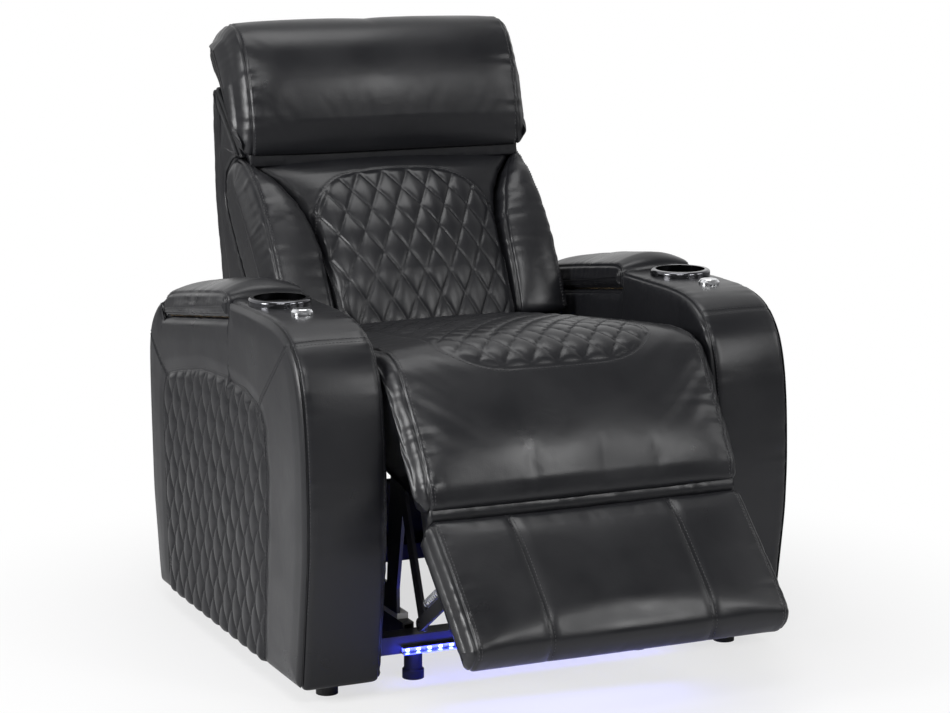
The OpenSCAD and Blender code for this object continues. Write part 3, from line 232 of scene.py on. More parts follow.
def unit(vectors: Array) -> Array:
    """Vectors along the last axis, made one long."""
    return vectors / np.maximum(np.linalg.norm(vectors, axis=-1, keepdims=True), 1e-12)


def mesh_object(
    name: str, verts: Array, quads: Array, extra: Sequence[Sequence[int]] = ()
) -> bpy.types.Object:
    """Puts points and faces into a new mesh object at the origin.

    Args:
        name: Name of the piece.
        verts: Points, one row each, in metres.
        quads: Faces with four corners, one row each; a triangle repeats its last corner.
        extra: Faces with any number of corners, such as the closing ones.

    Returns:
        The object, linked into the scene and shaded smooth.
    """
    mesh = bpy.data.meshes.new(name)
    triangles = quads[quads[:, 2] == quads[:, 3]][:, :3]
    full = quads[quads[:, 2] != quads[:, 3]]
    loops = [full.ravel(), triangles.ravel(), *[np.asarray(face) for face in extra]]
    sizes = np.array([4] * len(full) + [3] * len(triangles) + [len(f) for f in extra], np.int32)
    flat = np.concatenate(loops).astype(np.int32)
    mesh.vertices.add(len(verts))
    mesh.vertices.foreach_set("co", verts.astype(np.float32).ravel())
    mesh.loops.add(len(flat))
    mesh.loops.foreach_set("vertex_index", flat)
    mesh.polygons.add(len(sizes))
    starts = np.concatenate([[0], np.cumsum(sizes)[:-1]]).astype(np.int32)
    mesh.polygons.foreach_set("loop_start", starts)
    mesh.polygons.foreach_set("use_smooth", np.ones(len(sizes), bool))
    mesh.update(calc_edges=True)
    mesh.validate()
    piece = bpy.data.objects.new(name, mesh)
    bpy.context.scene.collection.objects.link(piece)
    return piece


def grid_quads(rows: int, columns: int, closed: bool) -> Array:
    """Faces of a grid of points, turned so that row-wise then column-wise points outward.

    Args:
        rows: Number of rows.
        columns: Number of points in a row.
        closed: Whether a row's last point joins its first.

    Returns:
        Corner numbers, one row for each face.
    """
    steps = columns if closed else columns - 1
    i, j = np.meshgrid(np.arange(rows - 1), np.arange(steps), indexing="ij")
    i, j = i.ravel(), j.ravel()
    k = (j + 1) % columns
    here, above = i * columns, (i + 1) * columns
    return np.stack([here + j, here + k, above + k, above + j], axis=1)


@dataclass
class Section:
    """A closed outline in the plane of Y and Z, counter-clockwise seen from +X."""

    points: Array

    @classmethod
    def rounded(cls, corners: Sequence[Mark], step: float) -> "Section":
        """Rounds each corner with a parabola and samples the outline in even steps.

        Args:
            corners: Y, Z and rounding length of each corner, in millimetres.
            step: Distance between points, in metres.

        Returns:
            The section in metres, in the frame's place.
        """
        spots = np.array([c[:2] for c in corners], float)
        radii = np.array([c[2] for c in corners], float)
        back, ahead = np.roll(spots, 1, axis=0) - spots, np.roll(spots, -1, axis=0) - spots
        reach_back = np.minimum(radii, LEG_SHARE * np.linalg.norm(back, axis=1))[:, None]
        reach_ahead = np.minimum(radii, LEG_SHARE * np.linalg.norm(ahead, axis=1))[:, None]
        first, last = spots + unit(back) * reach_back, spots + unit(ahead) * reach_ahead
        t = np.linspace(0, 1, CORNER_POINTS)[None, :, None]
        pull = 2 * t * (1 - t) * spots[:, None]
        curve = (1 - t) ** 2 * first[:, None] + pull + t * t * last[:, None]
        return cls.even(in_frame(curve.reshape(-1, 2)), step)

    @classmethod
    def even(cls, path: Array, step: float) -> "Section":
        """Samples a closed path of points in even steps of about step metres.

        Args:
            path: Points of the path, one row each.
            step: Distance between points, in metres.

        Returns:
            The section.
        """
        ring = closed_loop(path)
        length = run_along(ring)
        keep = np.concatenate([[True], np.diff(length) > 1e-9])
        ring, length = ring[keep], length[keep]
        count = max(24, int(round(length[-1] / step)))
        where = np.arange(count) * length[-1] / count
        return cls(np.stack([np.interp(where, length, ring[:, k]) for k in (0, 1)], axis=1))

    @property
    def arc(self) -> Array:
        """Distance of each point from the first along the outline, with the full length last."""
        return run_along(closed_loop(self.points))

    @property
    def normals(self) -> Array:
        """Outward directions, from the points one step before and after."""
        along = unit(np.roll(self.points, -1, axis=0) - np.roll(self.points, 1, axis=0))
        return np.stack([along[:, 1], -along[:, 0]], axis=1)

    def arc_at(self, y: float, z: float) -> float:
        """Place along the outline nearest to a point given in the drawing's millimetres."""
        away = np.linalg.norm(self.points - in_frame((y, z)), axis=1)
        return float(self.arc[np.argmin(away)])

    def shares(self, marks: Sequence[Mark]) -> Array:
        """Spreads values given at marks round the outline, in straight lines between them.

        Args:
            marks: Y, Z and value of each mark, in millimetres.

        Returns:
            One value for each point.
        """
        arc = self.arc
        places = np.array([self.arc_at(y, z) for y, z, _ in marks])
        values = np.array([m[2] for m in marks])
        order = np.argsort(places)
        return np.interp(arc[:-1], places[order], values[order], period=arc[-1])


def nearest_on(line: Array, points: Array) -> Array:
    """Nearest place on a polyline to each point.

    Args:
        line: Points of the line, one row each.
        points: Points to bring onto it.

    Returns:
        The nearest places, one row for each point.
    """
    a, b = line[:-1][None], line[1:][None]
    d = b - a
    t = np.clip(((points[:, None] - a) * d).sum(2) / np.maximum((d * d).sum(2), 1e-12), 0, 1)
    foot = a + t[..., None] * d
    gap = np.linalg.norm(points[:, None] - foot, axis=2)
    return foot[np.arange(len(points)), gap.argmin(1)]


@dataclass
class Skin:
    """A surface on a grid: rings across the width, each ring closed round the section."""

    points: Array
    across: Array
    around: Array

    @property
    def length(self) -> float:
        """Length round a ring, of which around holds the start of each step."""
        return float(self.around[-1])

    def resampled(self, across: Array, around: Array) -> "Skin":
        """The same surface at other places, by cubic interpolation both ways.

        Args:
            across: New places across the width.
            around: New places round the section, below the full length.

        Returns:
            The new skin.
        """
        rows = hermite(self.across, self.points, across)
        base = self.around[:-1]
        knots = np.concatenate([base[-3:] - self.length, base, base[:3] + self.length])
        rings = np.swapaxes(rows, 0, 1)
        wrapped = np.concatenate([rings[-3:], rings, rings[:3]])
        fine = np.swapaxes(hermite(knots, wrapped, around), 0, 1)
        return Skin(fine, across, np.append(around, self.length))

    @property
    def normals(self) -> Array:
        """Outward directions of the grid, from the differences both ways.

        Returns:
            Directions, one for each point.
        """
        round_ring = np.roll(self.points, -1, axis=1) - np.roll(self.points, 1, axis=1)
        over = np.gradient(self.points, axis=0)
        return unit(np.cross(round_ring, over))

    def raised(self, height: Array) -> "Skin":
        """The skin with each point moved outward by its height."""
        return Skin(self.points + self.normals * height[..., None], self.across, self.around)

    def at(self, across: Array, around: Array) -> tuple[Array, Array]:
        """Places and outward directions at points of the grid, by bilinear interpolation.

        Args:
            across: Places across the width.
            around: Places round the section; they may pass the seam.

        Returns:
            Points and directions, one row each.
        """
        base = self.around[:-1]
        i = np.clip(np.searchsorted(self.across, across, side="right") - 1, 0, len(self.across) - 2)
        s = np.mod(around, self.length)
        j = np.clip(np.searchsorted(base, s, side="right") - 1, 0, len(base) - 1)
        k = (j + 1) % len(base)
        ti = ((across - self.across[i]) / (self.across[i + 1] - self.across[i]))[:, None]
        tj = ((s - base[j]) / (self.around[j + 1] - base[j]))[:, None]
        out = []
        for values in (self.points, self.normals):
            low = values[i, j] * (1 - tj) + values[i, k] * tj
            high = values[i + 1, j] * (1 - tj) + values[i + 1, k] * tj
            out.append(low * (1 - ti) + high * ti)
        return out[0], unit(out[1])

    def build(self, name: str) -> bpy.types.Object:
        """The skin as a closed mesh, its first and last ring closed by one face each.

        Args:
            name: Name of the piece.

        Returns:
            The piece.
        """
        rows, columns = self.points.shape[:2]
        last = (rows - 1) * columns
        caps = [np.arange(columns)[::-1], last + np.arange(columns)]
        return mesh_object(name, self.points.reshape(-1, 3), grid_quads(rows, columns, True), caps)


# A bead's ten points, along, beside and over its middle: a tip, two square rings, a tip.
RING = ((1, 0), (0, 1), (-1, 0), (0, -1))
BEAD = ((-0.5, 0, -1.0), *[(end, *spot) for end in (-0.3, 0.3) for spot in RING], (0.5, 0, -1.0))
BEAD_FACES = (
    (1, 2, 6, 5), (2, 3, 7, 6), (3, 4, 8, 7), (4, 1, 5, 8),
    (0, 2, 1, 1), (0, 3, 2, 2), (0, 4, 3, 3), (0, 1, 4, 4),
    (9, 5, 6, 6), (9, 6, 7, 7), (9, 7, 8, 8), (9, 8, 5, 5),
)


@dataclass
class Thread:
    """Stitches along seams, gathered into one mesh for each moving body."""

    length: float = 4.6 * MM
    pitch: float = 6.2 * MM
    width: float = 0.55 * MM
    lift: float = 0.25 * MM
    spots: list[Array] = field(default_factory=list)

    def sew(self, skin: Skin, across: Array, around: Array) -> None:
        """Lays a row of stitches along a path on a skin.

        Args:
            skin: Surface that the row lies on.
            across: Places across the width along the path.
            around: Places round the section along the path.
        """
        path, out = skin.at(across, around)
        self.lay(path, out)

    def lay(self, path: Array, out: Array) -> None:
        """Lays a row of stitches along points in space.

        A stitch is a bead of ten points: its two ends, and a square ring near each end.

        Args:
            path: Points along the row.
            out: Outward direction at each point.
        """
        run = run_along(path)
        if run[-1] < 2 * self.pitch:
            return
        count = int(run[-1] / self.pitch)
        middle = (np.arange(count) + 0.5) * run[-1] / count

        def pick(values: Array, where: Array) -> Array:
            """Rows of values at distances along the path."""
            return np.stack([np.interp(where, run, values[:, k]) for k in range(3)], axis=1)

        ahead, behind = middle + self.length / 2, middle - self.length / 2
        along = unit(pick(path, ahead) - pick(path, behind))
        normal = unit(pick(out, middle))
        side = np.cross(normal, along)
        centre = pick(path, middle) + normal * self.lift
        beads = np.stack([
            centre + along * (a * self.length) + side * (b * self.width) + normal * (c * self.width)
            for a, b, c in BEAD
        ], axis=1)
        self.spots.append(beads)

    def build(self, name: str) -> bpy.types.Object:
        """All stitches as one mesh.

        Args:
            name: Name of the piece.

        Returns:
            The piece.
        """
        beads = np.concatenate(self.spots)
        first = np.arange(len(beads))[:, None, None] * len(BEAD)
        faces = (first + np.array(BEAD_FACES)[None]).reshape(-1, 4)
        return mesh_object(name, beads.reshape(-1, 3), faces)


@dataclass
class Quilt:
    """Sewn diamonds, each puffed between straight seams."""

    width: float = 48 * MM
    height: float = 88 * MM
    rise: float = 5.5 * MM
    groove: float = 1.6 * MM
    groove_width: float = 1.4 * MM
    fullness: float = 0.8
    border: float = 15 * MM

    def relief(self, u: Array, v: Array, inside: Array) -> Array:
        """Height of the quilt over its flat ground.

        In each diamond the height is the square root of the product of two sines, one
        from each pair of its seams, and a narrow groove runs along every seam.

        Args:
            u: Place along a diamond's width, in metres.
            v: Place along a diamond's height, in metres.
            inside: Distance inside the quilt's border, below 0 outside it.

        Returns:
            Heights in metres.
        """
        p, q = u / self.width + v / self.height, u / self.width - v / self.height
        puff = np.sqrt(np.abs(np.sin(np.pi * p) * np.sin(np.pi * q)))
        pitch = 1 / math.hypot(1 / self.width, 1 / self.height)
        near = np.minimum(np.abs(p - np.round(p)), np.abs(q - np.round(q))) * pitch
        seam = bell(near, self.groove_width)
        area = ease(inside, 0, self.border)
        height = self.rise * puff**self.fullness - self.groove * seam
        return area * height * np.where(inside > 0, 1, 0)


@dataclass(frozen=True)
class Leather:
    """Top grain leather: a fine pebble, soft creases, and a satin finish that wear polishes."""

    name: str
    colour: Colour = (0.0080, 0.0082, 0.0098)
    roughness: float = 0.34
    grain: float = 0.16
    crease: float = 0.10

    def material(self) -> bpy.types.Material:
        """The finish as a node material on Object coordinates.

        Returns:
            The material.
        """
        made = Nodes(self.name)
        grain = made.noise(scale=900, detail=4, roughness=0.6)
        pebble = made.voronoi(scale=520)
        folds = made.noise(scale=26, detail=5, roughness=0.62, distortion=0.6)
        cloud = made.noise(scale=7, detail=3, roughness=0.5)
        pores = made.math("MULTIPLY", made.math("ADD", grain, pebble), 0.5)
        made.bump((pores, self.grain, 0.0006), (folds, self.crease, 0.004))
        made.shade("Roughness", made.ramp(cloud, self.roughness - 0.07, self.roughness + 0.10))
        made.colour_mix(cloud, self.colour, tuple(c * 1.35 for c in self.colour))
        made.set(**{
            "Specular IOR Level": 0.36, "Coat Weight": 0.05, "Coat Roughness": 0.24, "IOR": 1.5,
        })
        return made.material


@dataclass(frozen=True)
class Metal:
    """Steel or aluminium: a faint brushed or cast grain over a metallic base."""

    name: str
    colour: Colour
    roughness: float
    metallic: float = 1.0
    grain_scale: float = 160
    bump: float = 0.05

    def material(self) -> bpy.types.Material:
        """The finish as a node material on Object coordinates.

        Returns:
            The material.
        """
        made = Nodes(self.name)
        grain = made.noise(scale=self.grain_scale, detail=5, roughness=0.65)
        cloud = made.noise(scale=18, detail=3, roughness=0.5)
        made.bump((grain, self.bump, 0.0004))
        dull = min(1, self.roughness * 1.25)
        made.shade("Roughness", made.ramp(cloud, self.roughness * 0.8, dull))
        made.colour_mix(cloud, self.colour, tuple(min(1, c * 1.12) for c in self.colour))
        made.set(Metallic=self.metallic)
        return made.material


@dataclass(frozen=True)
class Plastic:
    """Moulded plastic with a spark-eroded grain."""

    name: str
    colour: Colour
    roughness: float

    def material(self) -> bpy.types.Material:
        """The finish as a node material on Object coordinates.

        Returns:
            The material.
        """
        made = Nodes(self.name)
        grain = made.noise(scale=1400, detail=3, roughness=0.6)
        cloud = made.noise(scale=22, detail=3, roughness=0.5)
        made.bump((grain, 0.12, 0.0005))
        made.shade("Roughness", made.ramp(cloud, self.roughness - 0.05, self.roughness + 0.08))
        made.colour_mix(cloud, self.colour, tuple(c * 1.2 for c in self.colour))
        return made.material


@dataclass(frozen=True)
class Woven:
    """Elastic webbing: crossed ribs along X and Y."""

    name: str
    colour: Colour

    def material(self) -> bpy.types.Material:
        """The finish as a node material on Object coordinates.

        Returns:
            The material.
        """
        made = Nodes(self.name)
        warp = made.wave("X", 260)
        weft = made.wave("Y", 200)
        cloth = made.math("MULTIPLY", warp, weft)
        made.bump((cloth, 0.5, 0.0008))
        made.colour_mix(cloth, self.colour, tuple(min(1, c * 2.2) for c in self.colour))
        made.set(Roughness=0.85)
        return made.material


@dataclass(frozen=True)
class Wood:
    """Plywood board: long grain with darker rings."""

    name: str
    colour: Colour

    def material(self) -> bpy.types.Material:
        """The finish as a node material on Object coordinates.

        Returns:
            The material.
        """
        made = Nodes(self.name)
        rings = made.wave("Y", 14, distortion=6, detail=4)
        grain = made.noise(scale=60, detail=6, roughness=0.7)
        both = made.math("MULTIPLY", rings, grain)
        made.bump((grain, 0.15, 0.0006))
        made.colour_mix(both, self.colour, tuple(c * 0.62 for c in self.colour))
        made.set(Roughness=0.62)
        return made.material


@dataclass(frozen=True)
class Light:
    """A lit diode's lens."""

    name: str
    colour: Colour
    strength: float

    def material(self) -> bpy.types.Material:
        """The finish as a node material; the lens is a little uneven.

        Returns:
            The material.
        """
        made = Nodes(self.name)
        cloud = made.noise(scale=300, detail=2, roughness=0.5)
        made.colour_mix(cloud, self.colour, tuple(min(1, c * 1.1) for c in self.colour))
        made.set(**{
            "Emission Strength": self.strength, "Emission Color": (*self.colour, 1),
            "Roughness": 0.3,
        })
        return made.material


class Graph:
    """A node tree that is built by short calls."""

    def __init__(self, tree: bpy.types.NodeTree) -> None:
        """Takes the tree that the nodes go into."""
        self.tree = tree

    def fill(self, target: bpy.types.NodeSocket, value: object) -> None:
        """Links a socket to an input, or sets the input's own value.

        Args:
            target: The input.
            value: A socket, or a value that the input takes.
        """
        if isinstance(value, bpy.types.NodeSocket):
            self.tree.links.new(value, target)
        else:
            target.default_value = value

    def add(self, kind: str, inputs: Optional[dict] = None, **settings: str) -> bpy.types.Node:
        """Adds a node.

        Args:
            kind: Type of the node, without the word that all shader nodes start with.
            inputs: The socket or value for each input's name or number.
            settings: The node's own settings.

        Returns:
            The node.
        """
        node = self.tree.nodes.new("ShaderNode" + kind)
        for key, value in settings.items():
            setattr(node, key, value)
        for key, value in (inputs or {}).items():
            self.fill(node.inputs[key], value)
        return node

    def math(self, kind: str, first: Socket, second: object) -> Socket:
        """A sum, product or larger value of a socket and a socket or number."""
        return self.add("Math", {0: first, 1: second}, operation=kind).outputs[0]

    def ramp(
        self, source: Socket, low: float, high: float,
        start: float = 0.3, end: float = 0.7, kind: str = "LINEAR",
    ) -> Socket:
        """Maps a span of values to another span.

        Args:
            source: Values to map.
            low: Value at the span's start.
            high: Value at the span's end.
            start: Start of the source's span; by default the low middle of a noise.
            end: End of the source's span; by default the high middle of a noise.
            kind: How the values go from one end to the other.

        Returns:
            The mapped values.
        """
        ends = {"From Min": start, "From Max": end, "To Min": low, "To Max": high}
        node = self.add("MapRange", {"Value": source, **ends}, interpolation_type=kind)
        return node.outputs["Result"]

    def mix_out(
        self, share: Socket, first: bpy.types.Node, second: bpy.types.Node, output: str
    ) -> None:
        """Mixes two shaders into the tree's output.

        Args:
            share: How much of the second shader shows.
            first: The shader that shows where the share is 0.
            second: The shader that shows where the share is 1.
            output: Name of the output node.
        """
        mix = self.add("MixShader", {0: share, 1: first.outputs[0], 2: second.outputs[0]})
        self.fill(self.tree.nodes[output].inputs["Surface"], mix.outputs[0])


class Nodes(Graph):
    """Builds one node material round a Principled shader."""

    def __init__(self, name: str) -> None:
        """Starts the material and its Object coordinates.

        Args:
            name: Name of the material.
        """
        self.material = bpy.data.materials.new(name)
        self.material.use_nodes = True
        super().__init__(self.material.node_tree)
        self.shader = self.tree.nodes["Principled BSDF"]
        self.place = self.add("TexCoord").outputs["Object"]

    def noise(
        self, scale: float, detail: float, roughness: float, distortion: float = 0
    ) -> Socket:
        """Cloudy noise from 0 to 1 on the object's own coordinates.

        Args:
            scale: Cells of the noise in a metre.
            detail: Number of finer layers.
            roughness: How strong the finer layers are.
            distortion: How far the noise is bent by itself.

        Returns:
            The noise.
        """
        inputs = {"Vector": self.place, "Scale": scale, "Detail": detail}
        inputs.update({"Roughness": roughness, "Distortion": distortion})
        return self.add("TexNoise", inputs).outputs["Fac"]

    def voronoi(self, scale: float) -> Socket:
        """Distance from the middle of each cell."""
        node = self.add("TexVoronoi", {"Vector": self.place, "Scale": scale})
        return node.outputs["Distance"]

    def wave(self, axis: str, scale: float, distortion: float = 0, detail: float = 0) -> Socket:
        """Bands along an axis."""
        inputs = {"Vector": self.place, "Scale": scale, "Distortion": distortion, "Detail": detail}
        return self.add("TexWave", inputs, bands_direction=axis).outputs["Fac"]

    def bump(self, *layers: tuple[Socket, float, float]) -> None:
        """Chains bump layers into the shader's normal.

        Args:
            layers: Height socket, strength and distance in metres of each layer.
        """
        below = {}
        for height, strength, distance in layers:
            inputs = {"Strength": strength, "Distance": distance, "Height": height, **below}
            below = {"Normal": self.add("Bump", inputs).outputs["Normal"]}
        self.fill(self.shader.inputs["Normal"], below["Normal"])

    def shade(self, socket: str, source: Socket) -> None:
        """Drives one socket of the shader."""
        self.fill(self.shader.inputs[socket], source)

    def colour_mix(self, source: Socket, low: Colour, high: Colour) -> None:
        """Colours the surface between two tones by a pattern.

        Args:
            source: The pattern, from 0 to 1.
            low: Colour where it is 0.
            high: Colour where it is 1.
        """
        tones = {"Factor": source, "A": (*low, 1), "B": (*high, 1)}
        node = self.add("Mix", tones, data_type="RGBA")
        result = [out for out in node.outputs if out.type == "RGBA"][0]
        self.fill(self.shader.inputs["Base Color"], result)

    def set(self, **values: object) -> None:
        """Sets constant values on the shader's own sockets."""
        for key, value in values.items():
            self.shader.inputs[key].default_value = value


class Finishes:
    """Every finish of the seat, made once."""

    def __init__(self) -> None:
        """Makes the materials."""
        self.leather = Leather("black leather").material()
        self.thread = Plastic("bonded thread", (0.035, 0.035, 0.038), 0.38).material()
        self.rigid = {
            Slot.PLASTIC: Plastic("black moulded plastic", (0.012, 0.012, 0.013), 0.45).material(),
            Slot.DARK_METAL: Metal("dark polished metal", (0.12, 0.12, 0.13), 0.12).material(),
            Slot.SILVER: Metal("silver trim", (0.82, 0.83, 0.85), 0.18).material(),
            Slot.ZINC: Metal("zinc plated steel", (0.52, 0.53, 0.55), 0.34).material(),
            Slot.PAINTED: Metal(
                "black painted steel", (0.018, 0.018, 0.02), 0.42, metallic=0.0,
            ).material(),
            Slot.NYLON: Plastic("white nylon", (0.72, 0.71, 0.68), 0.5).material(),
            Slot.ALUMINIUM: Metal("channel aluminium", (0.62, 0.64, 0.68), 0.3).material(),
            Slot.LED: Light("lit diode", (0.16, 0.24, 1.0), 26.0).material(),
            Slot.WEBBING: Woven("elastic webbing", (0.03, 0.03, 0.03)).material(),
            Slot.PLYWOOD: Wood("plywood board", (0.46, 0.33, 0.19)).material(),
        }


RIGID_NODES = {
    Slot.PLASTIC: ("storage_tub", "cup_liner", "arm_glides", "base_feet", "actuator_motor"),
    Slot.DARK_METAL: ("cup_ring",),
    Slot.SILVER: ("switch_bezel", "recline_key", "return_key"),
    Slot.ZINC: ("lid_hinges", "actuator_tube", "drive_rod", "torque_tube", "link_spring",
                "headrest_hinge"),
    Slot.PAINTED: ("base_side_rails", "front_crossbar", "rear_crossbar", "side_plates",
                   "seat_side_rails", "seat_front_rail", "seat_rear_rail", "nose_hinge",
                   "lower_links", "upper_links", "flap_arms", "footrest_brackets", "back_brackets"),
    Slot.NYLON: ("slide_shoes",),
    Slot.ALUMINIUM: ("led_channel",),
    Slot.LED: ("led_diodes",),
    Slot.WEBBING: ("seat_webbing",),
    Slot.PLYWOOD: ("lid_board", "flap_board", "footrest_board", "back_cross_rail", "back_formers",
                   "back_board", "headrest_board"),
}


def dress_rigid_nodes(finishes: Finishes) -> None:
    """Gives every frame node that stays in view its finish.

    Args:
        finishes: The seat's finishes.
    """
    for slot, endings in RIGID_NODES.items():
        for name, node in frame["nodes"].items():
            if name.endswith(endings):
                node.data.materials.clear()
                node.data.materials.append(finishes.rigid[slot])


def inflate(
    piece: bpy.types.Object, hold: Array, cap: float, pressure: float, stiffness: float
) -> Array:
    """Lets cloth under pressure settle on a copy of a mesh.

    Args:
        piece: Closed mesh of the pad.
        hold: How firmly each point is held, from 0 to 1.
        cap: Furthest that a point may move, in metres.
        pressure: Air pressure of the cloth.
        stiffness: Tension of the cloth.

    Returns:
        How far each point moved, one row each.
    """
    scene = bpy.context.scene
    copy = piece.copy()
    copy.data = piece.data.copy()
    scene.collection.objects.link(copy)
    group = copy.vertex_groups.new(name="held")
    for level in np.unique(np.round(hold, 2)):
        if level > 0:
            group.add(np.nonzero(np.round(hold, 2) == level)[0].tolist(), float(level), "REPLACE")
    cloth = copy.modifiers.new("cloth", "CLOTH")
    settings = cloth.settings
    settings.quality = CLOTH_QUALITY
    settings.mass = CLOTH_MASS
    settings.tension_stiffness = settings.compression_stiffness = stiffness
    settings.shear_stiffness = stiffness / 3
    settings.bending_stiffness = CLOTH_BENDING
    settings.use_pressure = True
    settings.uniform_pressure_force = pressure
    settings.vertex_group_mass = "held"
    settings.shrink_min = CLOTH_SHRINK
    settings.effector_weights.gravity = 0
    cloth.collision_settings.use_collision = False
    cloth.point_cache.frame_start, cloth.point_cache.frame_end = 1, CLOTH_FRAMES
    for step in range(1, CLOTH_FRAMES + 1):
        scene.frame_set(step)
    held = copy.evaluated_get(bpy.context.evaluated_depsgraph_get())
    count = len(piece.data.vertices)
    after, before = np.zeros(count * 3, np.float32), np.zeros(count * 3, np.float32)
    held.data.vertices.foreach_get("co", after)
    piece.data.vertices.foreach_get("co", before)
    moved = (after - before).reshape(-1, 3).astype(float)
    bpy.data.objects.remove(copy)
    scene.frame_set(1)
    size = np.linalg.norm(moved, axis=1, keepdims=True)
    capped = cap * np.tanh(size / cap) / np.maximum(size, 1e-9)
    return moved * np.where(size > 1e-9, capped, 0)


@dataclass
class Cushion:
    """A stuffed leather form: a section carried across a width, with sewn side panels.

    Rings run from the heart of one side panel, out over its rounded edge, across the
    face and down the other side. On the face a ring is the section itself, pushed out
    by the crown. On the edge it draws in along a quarter circle. On a side panel it
    shrinks towards the spine, a line in the middle of the section.
    """

    name: str
    body: str
    replaces: tuple[str, ...]
    corners: Sequence[Mark]
    spine: Sequence[Point]
    half: float
    middle: float = 0.0
    edge: float = 16.0
    crown: float = 0.0
    crown_marks: Sequence[Mark] = ((0, 0, 1),)
    bulge: float = 4.0
    coarse: float = 9.0
    fine: float = 4.5
    seam_turn: float = 0.45
    seam_depth: float = 2.4
    pucker: float = 1.4
    fill: float = 0.7
    pressure: float = 4.0
    stiffness: float = 12.0
    cap: float = 14.0
    wrinkle: float = 0.16
    calming: int = 10
    hold_marks: Sequence[Mark] = ((0, 0, 0),)
    width_of: Optional[Callable[[Array, Array], tuple[Array, Array]]] = None

    def section(self, step: float) -> Section:
        """The cushion's section, sampled in steps of a size in millimetres."""
        return Section.rounded(self.corners, step * MM)

    def stations(self, step: float) -> Array:
        """Places of the rings along a path over the face, the edge and the side panel.

        Args:
            step: Distance between rings on the face, in millimetres.

        Returns:
            Signed distances from the middle of the face, in metres.
        """
        flat, turn, depth = self.path_marks()
        face = np.linspace(0, flat, max(3, int(flat / (step * MM))))
        bend = flat + np.linspace(0, turn - flat, EDGE_RINGS)[1:]
        side = turn + (depth - turn) * np.array(PANEL_RINGS)
        right = np.concatenate([face, bend, side])
        return np.concatenate([-right[:0:-1], right])

    def path_marks(self) -> tuple[float, float, float]:
        """Ends of the flat face, of the round edge and of the side panel on the path.

        Returns:
            Distances from the middle of the face, in metres.
        """
        flat = (self.half - self.edge) * MM
        turn = flat + self.edge * MM * math.pi / 2
        return flat, turn, turn + PANEL

    @property
    def seam(self) -> float:
        """Place of the side seam on the path."""
        flat, turn, _ = self.path_marks()
        return flat + (turn - flat) * self.seam_turn

    def shape(self, stations: Array, section: Section) -> Skin:
        """Carries the section across the stations.

        Args:
            stations: Places of the rings along the path.
            section: Section at the wanted fineness.

        Returns:
            The skin before any sewing.
        """
        flat, turn, depth = self.path_marks()
        q = np.abs(stations)[:, None]
        sign = np.sign(stations)[:, None]
        outline, out = section.points, section.normals
        middle = np.full(len(outline), self.middle * MM)
        half = np.full(len(outline), self.half * MM)
        if self.width_of is not None:
            middle, half = self.width_of(outline[:, 0], outline[:, 1])
        radius = self.edge * MM
        angle = np.clip((q - flat) / radius, 0, math.pi / 2)
        share = np.clip((q - turn) / (depth - turn), 0, 1)
        reach = (half - radius)[None]
        over = np.where(q < flat, q / flat * reach, reach + radius * np.sin(angle))
        over = over + self.bulge * MM * np.sin(share * math.pi / 2)
        x = middle[None] + sign * over
        crown = section.shares(self.crown_marks)
        lift = self.crown * MM * crown[None] * (1 - np.clip(over / half[None], 0, 1) ** 2)
        inset = radius * (1 - np.cos(angle)) - lift
        spots = outline[None] - out[None] * inset[..., None]
        target = nearest_on(in_frame(self.spine), outline)[None]
        spots = spots + (target - spots) * (share * CLOSING)[..., None]
        return Skin(np.concatenate([x[..., None], spots], axis=2), stations, section.arc)

    def soften(self, skin: Skin, section: Section) -> Skin:
        """Runs the cloth on the coarse skin and takes over its movement.

        The movement is averaged with its neighbours again and again. The calm part is
        taken over whole, and of what is left only the share called wrinkle.

        Args:
            skin: Coarse skin.
            section: Its section, for the marks.

        Returns:
            The moved skin.
        """
        piece = skin.build(self.name + "_cloth")
        marks = section.shares(self.hold_marks)
        near = bell(np.abs(skin.across) - self.seam, 6 * MM)
        hold = np.clip(np.maximum(near[:, None], marks[None]), 0, 1)
        moved = inflate(piece, hold.ravel(), self.cap * MM, self.pressure, self.stiffness)
        bpy.data.objects.remove(piece)
        moved = moved.reshape(skin.points.shape)
        calm = moved
        for _ in range(self.calming):
            beside = np.concatenate([calm[:1], calm, calm[-1:]])
            before, after = np.roll(calm, 1, axis=1), np.roll(calm, -1, axis=1)
            calm = (before + after + beside[:-2] + beside[2:] + calm) / 5
        points = skin.points + calm + (moved - calm) * self.wrinkle
        return Skin(points, skin.across, skin.around)

    def fine_places(self, section: Section) -> tuple[Array, Array]:
        """Places of the finished grid, closer together at the side seams.

        Args:
            section: The coarse section.

        Returns:
            Places across the width, and places round the section.
        """
        depth = self.path_marks()[2]
        plain = self.seam - 9 * MM
        face = np.linspace(0, plain, max(4, int(plain / (self.fine * MM))))
        close = self.seam + np.array(SEAM_RINGS) * MM
        side = np.linspace(self.seam + 10 * MM, depth - 4 * MM, 12)
        right = np.concatenate([face, close, side])
        count = int(section.arc[-1] / (self.fine * MM))
        return np.concatenate([-right[:0:-1], right]), np.arange(count) * section.arc[-1] / count

